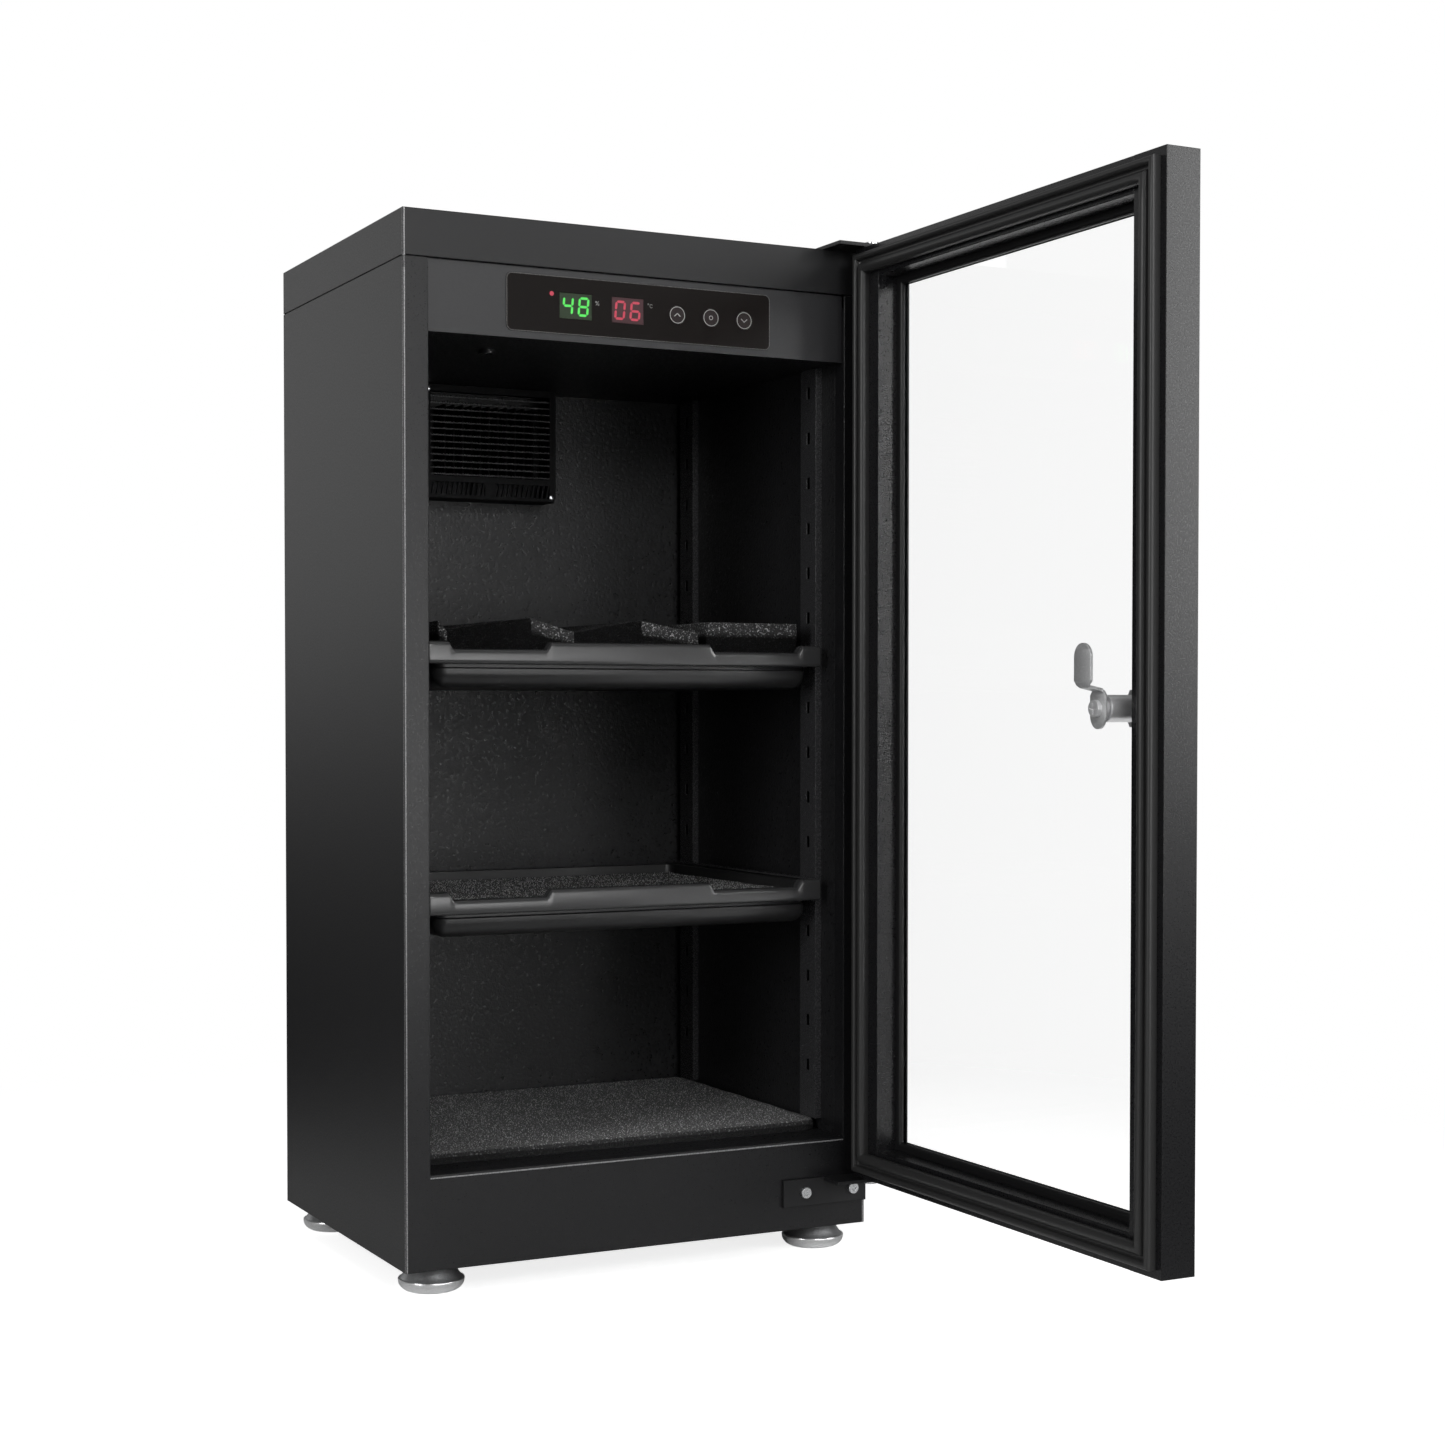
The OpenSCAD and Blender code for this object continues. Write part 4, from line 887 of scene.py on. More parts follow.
@dataclass
class Door:
    """The door: frame members, glass, glazing bead, gasket and lock.

    Attributes:
        frame: The loaded frame.
        face_x: X of the door frame's inner face as drawn.
        glass_x: X of the glass's inner face.
        hinge_y: Y of the hinge edge.
        free_y: Y of the free edge.
        foot_z: Z of the lower edge.
        top_z: Z of the upper edge.
        stile: Width of a stile.
        rail: Height of a rail.
        lock_y: Y of the lock's axis.
        lock_z: Z of the lock's axis.
        cam_half: Half the width of the cam.
    """

    frame: dict
    face_x: float = 156.0 * MM
    glass_x: float = 174.0 * MM
    hinge_y: float = -140.3 * MM
    free_y: float = -482.3 * MM
    foot_z: float = 54.2 * MM
    top_z: float = 699.2 * MM
    stile: float = 30.0 * MM
    rail: float = 22.0 * MM
    lock_y: float = -438.3 * MM
    lock_z: float = 381.0 * MM
    cam_half: float = 8.2 * MM

    def sweep(self, profile: np.ndarray, base_x: float, stile_in: float, rail_in: float,
              wave: float = 0.0) -> Shape:
        """Carries a profile round the door as a mitred frame.

        A profile point (u, h) lies u further in than the inset and h off the base towards the
        room. Along a side, points run from one mitre to the next in even shares of its length.

        Args:
            profile: Points (u, h), closed from last to first.
            base_x: X of the surface that the profile stands on.
            stile_in: Inset from the hinge and free edges.
            rail_in: Inset from the lower and upper edges.
            wave: Height of the slight waviness of a hand-laid strip.

        Returns:
            Points and faces.
        """
        u, h = profile[:, 0], profile[:, 1]
        steps = 40
        t = np.linspace(0, 1, steps + 1)[:, None]
        y0, y1 = self.hinge_y - stile_in - u, self.free_y + stile_in + u
        z0, z1 = self.foot_z + rail_in + u, self.top_z - rail_in - u
        swing = wave * np.sin(2 * np.pi * t) * np.sin(np.pi * t) * (u / max(u.max(), 1e-9))
        runs = {
            Side.HINGE: (y0 + 0 * t, z0 + (z1 - z0) * t),
            Side.TOP: (y0 + (y1 - y0) * t, z1 + 0 * t),
            Side.FREE: (y1 + 0 * t + swing, z1 + (z0 - z1) * t),
            Side.FOOT: (y1 + (y0 - y1) * t, z0 + 0 * t),
        }
        x = base_x - h + 0 * t
        faces = grid_faces(steps + 1, len(u), close_cols=True)
        return joined((np.stack([x, y, z], -1).reshape(-1, 3), faces) for y, z in runs.values())

    def gasket(self) -> None:
        """Makes the ridged gasket: a round lip, a groove, and a broad inner bulb."""
        a = np.linspace(0, np.pi, 13)
        outer = np.stack([2.3 - 2.3 * np.cos(a), 4.4 + 2.2 * np.sin(a)], -1)
        groove = np.array([(4.9, 3.4), (5.6, 2.9), (6.4, 2.9), (7.1, 3.4)])
        inner = np.stack([10.6 - 3.4 * np.cos(a), 3.6 + 3.3 * np.sin(a)], -1)
        skirt = np.array([(14.0, 2.2), (13.6, 0.1), (0.2, 0.1), (0.0, 2.0)])
        profile = np.concatenate([outer, groove, inner, skirt]) * MM
        add_mesh("gasket_strip", *self.sweep(profile, self.face_x, 5 * MM, 5 * MM, 1.0 * MM),
                 "door", SEAL_RUBBER, Slot.SEAL, ("door_gasket",), angle=35)

    def bead(self) -> None:
        """Makes the soft bead that holds the glass, from the frame's edge over the pane."""
        a = np.linspace(0, np.pi / 2, 9)
        nose = np.stack([3.6 + 2.2 * np.sin(a), 0.9 + 2.2 * np.cos(a)], -1)
        profile = np.concatenate([[(0.05, 0.05), (0.05, 3.1)], nose, [(5.8, 0.05)]]) * MM
        add_mesh("glazing_bead", *self.sweep(profile, self.glass_x, self.stile, self.rail),
                 "door", BEAD_RUBBER, Slot.SEAL, angle=35)
        outside = profile * np.array([1.0, -0.6])
        add_mesh("glazing_bead_outside",
                 *self.sweep(outside, self.glass_x + 4 * MM, self.stile, self.rail),
                 "door", BEAD_RUBBER, Slot.SEAL, angle=35)

    def cam(self) -> None:
        """Makes the cranked cam: a strip along a bent path, wide, narrow and wide again.

        The strip's middle goes up the hub, across the crank and up the tongue. Its half width is
        that of the hub, the neck or the tongue, and falls to nothing at both ends as
        sqrt(1 - (1 - d/r)^2), d being the distance from the end.
        """
        path = np.array([(143, -12), (143, 9.6), (142.0, 10.9), (133.0, 12.7), (132, 14.0),
                         (132, 38)]) * MM
        run = np.concatenate([[0], np.cumsum(np.linalg.norm(np.diff(path, axis=0), axis=1))])
        s = np.unique(np.concatenate([np.linspace(0, run[-1], 90), packed_steps(
            0, run[-1], 4, 6 * MM), run]))
        x, z = np.interp(s, run, path[:, 0]), np.interp(s, run, path[:, 1])
        slope = np.stack([np.gradient(x, s), np.gradient(z, s)], -1)
        slope /= np.linalg.norm(slope, axis=1, keepdims=True)
        full, neck = self.cam_half, 4.6 * MM
        stops = np.array([0, run[1] - 2 * MM, run[2], run[3], run[4] + 2 * MM, run[-1]])
        width = np.interp(s, stops, [0.9 * full, 0.9 * full, neck, neck, full, full])
        for d in (s, run[-1] - s):
            width *= np.sqrt(np.clip(1 - (1 - np.minimum(d / full, 1)) ** 2, 0.002, 1))
        across = np.array([(-1, 0.7), (-0.94, 1), (0.94, 1), (1, 0.7), (1, -0.7), (0.94, -1),
                           (-0.94, -1), (-1, -0.7)])
        thick = 0.95 * MM
        y = self.lock_y + width[:, None] * across[:, 0]
        verts = np.stack([x[:, None] + slope[:, 1:] * thick * across[:, 1], y,
                          z[:, None] - slope[:, :1] * thick * across[:, 1] + self.lock_z], -1)
        add_mesh("cam_strip", *capped(verts), "lock", ZINC, Slot.BRIGHT, ("lock_cam",), angle=40)

    def build(self) -> None:
        """Dresses the door and makes its gasket, bead and lock."""
        for node in ("door_stile_hinge", "door_stile_lock", "door_rail_top", "door_rail_bottom"):
            softened(self.frame, node, DOOR_PAINT, 0.6 * MM, 3)
        keep(self.frame, "door_end_blocks", DRYER_PLASTIC)
        keep(self.frame, "door_bushes", BUSH_PLASTIC)
        keep(self.frame, "door_glass", GLASS)
        self.gasket()
        self.bead()
        for node in ("lock_barrel", "lock_nut", "lock_plug", "cam_screw"):
            softened(self.frame, node, LOCK_NICKEL, 0.35 * MM)
        self.cam()


@dataclass
class Trays:
    """The two trays and every piece of foam.

    Attributes:
        frame: The loaded frame; not used.
        rail_half: Half the length of a front rail.
        notch_at: Distance of a finger notch's middle from the tray's middle.
        notch_half: Half its width at the floor.
        tuft_counts: Number of thread ends on each flat foam.
        knots: Places across the pan and heights of the wave foam, as shares.
        wave_height: Height of the wave foam's crests over its troughs.
    """

    frame: dict
    rail_half: float = 147.5 * MM
    notch_at: float = 95.9 * MM
    notch_half: float = 32.5 * MM
    tuft_counts: dict = field(default_factory=lambda: {"floor_mat": 5200, "flat_foam": 4200})
    knots: tuple = ((0, 1), (0.025, 0.1), (0.243, 1), (0.363, 0.05), (0.54, 0.95), (0.715, 0.1))
    wave_height: float = 9 * MM

    def crest(self, x: np.ndarray) -> np.ndarray:
        """Height of the wave foam's top before the small unevenness.

        Between two knots the height goes straight, eased by a third towards (1 - cos) / 2.

        Args:
            x: X of each point.

        Returns:
            Z of each point.
        """
        low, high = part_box("wave_foam")
        block_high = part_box("foam_block")[1]
        wide = block_high.x - low.x
        at = (x - low.x) / wide
        knots = np.array(self.knots)
        i = np.clip(np.searchsorted(knots[:, 0], at, side="right") - 1, 0, len(knots) - 2)
        share = np.clip((at - knots[i, 0]) / (knots[i + 1, 0] - knots[i, 0]), 0, 1)
        ease = share * 2 / 3 + (1 - np.cos(np.pi * share)) / 6
        up = knots[i, 1] + (knots[i + 1, 1] - knots[i, 1]) * ease
        return high.z - self.wave_height * (1 - up)

    def wave(self, x: np.ndarray, y: np.ndarray) -> np.ndarray:
        """Height of the wave foam's top, the crests and a small unevenness.

        Args:
            x: X of each point.
            y: Y of each point.

        Returns:
            Z of each point.
        """
        return self.crest(x) + ripple(x, y, 31 * MM, 0.35 * MM)

    def foam(self) -> None:
        """Makes the wave foam, the flat block beside it, the lower tray's foam and the mat."""
        for node, body, finish, edge, lip, corner, counts in (
                ("wave_foam", "upper_tray", FOAM, 1.9, 1.2, 3, (150, 90)),
                ("foam_block", "upper_tray", FOAM, 1.9, 1.2, 3, (50, 90)),
                ("flat_foam", "lower_tray", FOAM, 0.3, 1.5, 6, (130, 90)),
                ("floor_mat", "cabinet", MAT_FOAM, 0.3, 2.5, 10, (140, 100))):
            low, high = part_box(node)
            edge *= MM
            top = high.z - 0.35 * MM

            def flat(x: np.ndarray, y: np.ndarray, level: float = top) -> np.ndarray:
                """Height of a flat cut, uneven by a fraction of a millimetre."""
                return level + ripple(x, y, 43 * MM, 0.3 * MM)

            shape = self.wave if node == "wave_foam" else flat
            verts, faces = slab((low.x + edge, low.y + edge, low.z), (high.x - edge, high.y - edge),
                                shape, lip * MM, corner * MM, counts)
            piece = add_mesh(node + "_cut", verts, faces, body, finish, Slot.FOAM, (node,),
                             angle=60)
            self.painted_light(piece, node == "wave_foam", low.z)
            if node in self.tuft_counts:
                self.tufts(node, body, flat, self.tuft_counts[node])

    def tufts(self, node: str, body: str, height: Callable, count: int) -> None:
        """Makes the ends of cut threads that stand up from a flat foam, coloured near white as
        painted glints.

        Each is a small three-sided point: a base triangle at centre + r (cos a, sin a), a little
        sunk in the foam, and a tip above the centre.

        Args:
            node: The foam's CAD node.
            body: Body that carries it.
            height: Height of the foam's top as a function of x and y arrays.
            count: Number of thread ends.
        """
        low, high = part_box(node)
        rng = np.random.default_rng(SEED)
        edge = 5 * MM
        x = rng.uniform(low.x + edge, high.x - edge, count)
        y = rng.uniform(low.y + edge, high.y - edge, count)
        radius = rng.uniform(0.22, 0.42, count) * MM
        tall = rng.uniform(0.35, 0.95, count) * MM
        turn = rng.uniform(0, 2 * np.pi, count)
        a = turn[:, None] + np.arange(3) * 2 * np.pi / 3
        z = height(x, y)
        verts = np.empty((count, 4, 3))
        verts[:, :3, 0] = x[:, None] + radius[:, None] * np.cos(a)
        verts[:, :3, 1] = y[:, None] + radius[:, None] * np.sin(a)
        verts[:, :3, 2] = (z - 0.15 * MM)[:, None]
        verts[:, 3] = np.stack([x, y, z + tall], -1)
        corners = np.array([(0, 2, 1), (0, 1, 3), (1, 2, 3), (2, 0, 3)])
        faces = (np.arange(count)[:, None, None] * 4 + corners).reshape(-1, 3)
        add_mesh(node + "_threads", verts.reshape(-1, 3), faces.tolist(), body, FOAM_THREAD_GLINT,
                 Slot.FOAM, angle=10, merge=FINE_MERGE)

    def painted_light(self, piece: bpy.types.Object, waved: bool, foot: float) -> None:
        """Stores a painted light mask at each point: one where the foam is painted lit, nought
        where it is painted in shade.

        It is nothing at the foot, and one elsewhere on a flat cut. On the wave it is
        -10 (rise + 0.02), kept within nought and one, so slopes that fall to the right, facing the
        light, are painted lit and the rest painted in shade.

        Args:
            piece: The finished foam.
            waved: Whether its top is the wave.
            foot: Z of the foam's underside.
        """
        mesh = piece.data
        places = np.empty(len(mesh.vertices) * 3)
        mesh.vertices.foreach_get("co", places)
        x, _, z = places.reshape(-1, 3).T
        step = 1.0 * MM
        rise = (self.crest(x + step) - self.crest(x - step)) / (2 * step)
        value = np.clip(-10 * (rise + 0.02), 0, 1) if waved else np.ones_like(x)
        value[z < foot + 0.1 * MM] = 0
        store = mesh.attributes.new(PAINTED_LIGHT, "FLOAT", "POINT")
        store.data.foreach_set("value", value)

    def rail(self, base: float) -> Shape:
        """A front rail with a rounded section and two softly sunk finger notches.

        The section's top is lowered by depth * n(x), where n goes from 0 to 1 over the slanted
        ends of a notch as 3t^2 - 2t^3. Near the rail's ends the section shrinks by
        e - sqrt(e^2 - (e - d)^2), d being the distance from the end.

        Args:
            base: Z of the tray's underside.

        Returns:
            Points and faces.
        """
        half, end = self.rail_half, 1.6 * MM
        fine = [np.arange(-1.2, 7.2, 0.3) * MM + side * self.notch_at + edge - 3 * MM
                for side in (-1, 1)
                for edge in (-self.notch_half - 1.0 * MM, self.notch_half + 1.0 * MM)]
        tips = end * np.array([0, 0.04, 0.15, 0.35, 0.65, 1.0])
        x = np.unique(np.round(np.concatenate([np.linspace(-half, half, 60), *fine, -half + tips,
                                               half - tips]), 7))
        away = np.abs(np.abs(x) - self.notch_at) - self.notch_half
        t = np.clip(1 - away / (4.6 * MM), 0, 1)
        sunk = 5.0 * MM * t * t * (3 - 2 * t)
        d = np.minimum(np.minimum(x + half, half - x), end)
        shrink = end - np.sqrt(np.maximum(end**2 - (end - d) ** 2, 0))
        y0, z0 = -108.5 * MM, base + 15.5 * MM
        deep, tall = 10.0 * MM, 15.0 * MM
        a = np.linspace(0, np.pi / 2, 7)
        spots = ((y0, z0, 2.6, np.pi), (y0 + deep, z0, 2.0, 1.5 * np.pi),
                 (y0 + deep, z0 + tall, 2.4, 0.0), (y0, z0 + tall, 3.2, 0.5 * np.pi))
        ring = []
        for y, z, r, turn in spots:
            r *= MM
            cy = y + r if y == y0 else y - r
            cz = z + r if z == z0 else z - r
            ring.append(np.stack([cy + r * np.cos(turn + a), cz + r * np.sin(turn + a)], -1))
        ring = np.concatenate(ring)
        upper = ring[:, 1] > z0 + tall / 2
        mid = np.array([y0 + deep / 2, z0 + tall / 2])
        inward = np.sign(mid - ring)
        verts = np.empty((len(x), len(ring), 3))
        verts[..., 0] = x[:, None]
        verts[..., 1] = ring[:, 0] + inward[:, 0] * shrink[:, None]
        verts[..., 2] = ring[:, 1] + inward[:, 1] * shrink[:, None] - sunk[:, None] * upper
        return capped(verts)

    def pan(self, base: float) -> Shape:
        """A moulded pan: rounded rectangles stacked from its underside, out round its rim and
        down to its floor.

        Each ring has half width w, front f, back b, corner radius r and height z. Its corner
        points are the corner's centre + r (cos a, sin a). Its front stays below the notches of
        the rail, and a point behind each front corner takes up the full height again.

        Args:
            base: Z of the tray's underside.

        Returns:
            Points and faces.
        """
        a = np.linspace(0, np.pi / 2, 8)
        under = np.stack([10.0 * (1 - np.sin(a)), 10.0 * (1 - np.cos(a))], -1)
        inner = np.stack([4.0 * (1 - np.sin(a)), 2.5 + 4.0 * (1 - np.cos(a))], -1)[::-1]
        rings = [(140.0 - u, -102.0 + u, 112.8 - u, max(9.0 - u, 2.0), z) for u, z in under]
        rings += [(140.0, -102.0, 112.8, 9.0, 12.6), (140.0, -100.0, 112.8, 9.0, 13.4),
                  (140.0, -100.0, 112.8, 9.0, 26.4), (141.0, -101.5, 114.0, 7.0, 26.5),
                  (147.0, -101.5, 115.1, 3.0, 26.6), (147.3, -101.5, 115.3, 3.0, 27.2),
                  (147.3, -101.5, 115.3, 3.0, 28.4), (146.8, -101.2, 114.9, 3.0, 29.0),
                  (138.3, -99.2, 111.2, 7.4, 29.0), (137.7, -98.5, 110.5, 6.8, 28.6),
                  (137.5, -98.2, 110.3, 6.5, 27.8)]
        rings += [(137.5 - u, -98.2 + u, 110.3 - u, max(6.5 - u, 1.5), z) for u, z in inner]
        w, f, b, r, z = (np.array(v)[:, None] * MM for v in zip(*rings))
        low = np.minimum(z, 21 * MM)
        parts = []
        for k, (sx, sy) in enumerate(((1, 1), (-1, 1), (-1, -1), (1, -1))):
            turn = a + k * np.pi / 2
            px = sx * (w - r) + r * np.cos(turn)
            py = (b - r if sy > 0 else f + r) + r * np.sin(turn)
            parts.append(np.stack([px, py, (z if sy > 0 else low) + 0 * px], -1))
        behind = f + r + 0.3 * MM
        left, right = (np.stack([side * w, behind, z], -1) for side in (-1, 1))
        verts = np.concatenate([parts[0], parts[1], left, parts[2], parts[3], right], axis=1)
        verts[..., 2] += base
        return capped(verts)

    def build(self) -> None:
        """Makes the two trays and all the foam."""
        for node in ("upper_tray", "lower_tray"):
            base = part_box(node)[0].z
            add_mesh(node + "_rail", *self.rail(base), node, TRAY_PLASTIC, Slot.PLASTIC, (node,))
            # The pan gets the darker copy of the tray plastic as painted shade under the rail.
            add_mesh(node + "_pan", *self.pan(base), node, PAN_SHADED_PLASTIC, Slot.PLASTIC, (node,))
        self.foam()


@dataclass
class ControlStrip:
    """The fascia, its window, displays, lamp, keys and printed marks.

    Attributes:
        frame: The loaded frame.
        level: Z of the middle of the strip.
        print_height: How far a printed mark stands off its surface.
        key_spots: X of each key, by its body.
        lit: Lit segments of each digit, by their letters.
    """

    frame: dict
    level: float = 646.5 * MM
    print_height: float = 0.06 * MM
    key_spots: dict = field(default_factory=lambda: {
        "up_button": 25.0 * MM, "set_button": 50.5 * MM, "down_button": 76.0 * MM})
    lit: dict = field(default_factory=lambda: {
        "0": "abcdef", "4": "bcfg", "6": "acdefg", "8": "abcdefg"})

    def mark(self, name: str, loops: Iterable[np.ndarray], face_y: float, body: str,
             finish: Surface, slot: Slot, thick: float | None = None) -> None:
        """Makes thin flat marks that stand off a surface which faces the front.

        Args:
            name: Name of the piece.
            loops: Outlines as (x, z) points, each closed.
            face_y: Y of the surface.
            body: Body that carries it.
            finish: Finish of the marks.
            slot: Material slot.
            thick: Height off the surface, if it isn't that of print.
        """
        front = face_y - (self.print_height if thick is None else thick)
        shape = joined(prism(loop, 1, face_y + 0.02 * MM, front) for loop in loops)
        add_mesh(name, *shape, body, finish, slot, angle=20, merge=1e-8)

    @staticmethod
    def stroke(points: Sequence[tuple[float, float]], width: float) -> list[np.ndarray]:
        """Outlines of straight strokes between points.

        Each stroke is a thin rectangle along its line, a little longer than the line.

        Args:
            points: Ends of the strokes in order, as (x, z).
            width: Width of the strokes.

        Returns:
            One loop for each stroke.
        """
        loops = []
        p = np.asarray(points, float)
        for a, b in zip(p[:-1], p[1:]):
            along = (b - a) / np.linalg.norm(b - a) * width / 2
            across = np.array([-along[1], along[0]])
            loops.append(np.array([a - along - across, b + along - across, b + along + across,
                                   a - along + across]))
        return loops

    @staticmethod
    def ring(centre: tuple[float, float], radius: float, width: float,
             count: int = 48) -> list[np.ndarray]:
        """Outlines of a ring cut into short pieces.

        Args:
            centre: Centre of the ring, as (x, z).
            radius: Middle radius.
            width: Width of its line.
            count: Number of pieces.

        Returns:
            One loop for each piece.
        """
        a = np.linspace(0, 2 * np.pi, count + 1)
        way = np.stack([np.cos(a), np.sin(a)], -1)
        inner, outer = (np.array(centre) + (radius + side * width / 2) * way
                        for side in (-1, 1))
        return [np.array([inner[k], outer[k], outer[k + 1], inner[k + 1]]) for k in range(count)]

    def digit(self, which: str, centre: tuple[float, float]) -> list[np.ndarray]:
        """Outlines of the lit segments of one digit.

        The seven segments are six-sided bars on a leaning figure of eight.

        Args:
            which: The digit.
            centre: Its centre, as (x, z).

        Returns:
            One loop for each segment.
        """
        w, h, t, lean = 3.1 * MM, 5.6 * MM, 0.8 * MM, 0.09
        ends = {"a": ((-w, h), (w, h)), "b": ((w, h), (w, 0)), "c": ((w, 0), (w, -h)),
                "d": ((-w, -h), (w, -h)), "e": ((-w, 0), (-w, -h)), "f": ((-w, h), (-w, 0)),
                "g": ((-w, 0), (w, 0))}
        loops = []
        for segment in self.lit[which]:
            a, b = (np.array(p) for p in ends[segment])
            along = (b - a) / np.linalg.norm(b - a)
            across = np.array([-along[1], along[0]]) * t
            a, b = a + along * 0.25 * MM, b - along * 0.25 * MM
            loop = np.array([a, a + along * t + across, b - along * t + across, b,
                             b - along * t - across, a + along * t - across])
            loop[:, 0] += lean * loop[:, 1]
            loops.append(loop + np.array(centre))
        return loops

    def rim(self) -> None:
        """Makes the fine line that stands proud round the window's edge, in light grey as a painted
        highlight on the window's bevel.
        """
        low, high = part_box("display_window")
        radius, wide, n = 4 * MM, 0.45 * MM, 9
        a = np.concatenate([np.linspace(0, np.pi / 2, n) + k * np.pi / 2 for k in range(4)])
        k = np.repeat(np.arange(4), n)
        cx = np.where((k == 0) | (k == 3), high.x - radius, low.x + radius)
        cz = np.where(k < 2, high.z - radius, low.z + radius)
        loops = []
        for r in (radius, radius - wide):
            loops.append(np.stack([cx + r * np.cos(a), cz + r * np.sin(a)], -1))
        outer, inner = loops
        pieces = [np.array([outer[i], outer[(i + 1) % len(a)], inner[(i + 1) % len(a)], inner[i]])
                  for i in range(len(a))]
        self.mark("window_rim", pieces, low.y, "cabinet", WINDOW_RIM_HIGHLIGHT, Slot.WINDOW, 0.12 * MM)

    def displays(self) -> None:
        """Dresses the two displays and lights their digits."""
        for node, text, glow, bed, slot in (
                ("humidity_display", "48", GLOW_GREEN, SEGMENT_BED_GREEN, Slot.GREEN),
                ("temperature_display", "06", GLOW_RED, SEGMENT_BED_RED, Slot.RED)):
            keep(self.frame, node, bed)
            low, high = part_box(node)
            middle = (low.x + high.x) / 2
            shapes = []
            for sign, which in zip((-1, 1), text):
                shapes += self.digit(which, (middle + sign * 5.6 * MM, self.level))
            self.mark(node + "_digits", shapes, low.y, "cabinet", glow, slot)
        keep(self.frame, "power_led", GLOW_RED)

    def marks(self) -> None:
        """Prints the rings and arrows of the keys and the unit marks of the displays."""
        z, line = self.level, 0.42 * MM
        arrow = 2.1 * MM
        for body, x in self.key_spots.items():
            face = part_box(body)[0].y
            shapes = self.ring((x, z), 5.45 * MM, line)
            if body == "set_button":
                shapes += self.ring((x, z), 1.3 * MM, line, 20)
            else:
                up = 1 if body == "up_button" else -1
                shapes += self.stroke([(x - arrow, z - up * 0.8 * MM), (x, z + up * 1.1 * MM),
                                       (x + arrow, z - up * 0.8 * MM)], line * 1.2)
            self.mark(body + "_mark", shapes, face, body, PRINT_WHITE, Slot.KEY)
        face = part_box("display_window")[0].y
        x, top = -34.2 * MM, z + 3.2 * MM
        percent = (self.stroke([(x - 0.9 * MM, top - 1.3 * MM), (x + 0.9 * MM, top + 1.3 * MM)],
                               0.3 * MM)
                   + self.ring((x - 0.8 * MM, top + 0.8 * MM), 0.5 * MM, 0.25 * MM, 12)
                   + self.ring((x + 0.8 * MM, top - 0.8 * MM), 0.5 * MM, 0.25 * MM, 12))
        x = 4.6 * MM
        top = z + 4.4 * MM
        arc = np.linspace(0.7, 2 * np.pi - 0.7, 9)
        degree = (self.ring((x - 1.2 * MM, top + 1.1 * MM), 0.42 * MM, 0.25 * MM, 12)
                  + self.stroke([(x + 0.9 * MM + 1.0 * MM * math.cos(a),
                                  top + 1.15 * MM * math.sin(a)) for a in arc], 0.3 * MM))
        self.mark("unit_marks", percent + degree, face, "cabinet", PRINT_WHITE, Slot.WINDOW)

    def build(self) -> None:
        """Dresses the strip and everything on it."""
        keep(self.frame, "control_fascia", FASCIA_PLASTIC)
        keep(self.frame, "display_window", WINDOW_GLOSS)
        self.rim()
        for node in self.key_spots:
            softened(self.frame, node, KEY_GLOSS, 0.25 * MM)
        keep(self.frame, "control_board", BOARD_GREEN)
        keep(self.frame, "humidity_sensor", DRYER_PLASTIC)
        self.displays()
        self.marks()


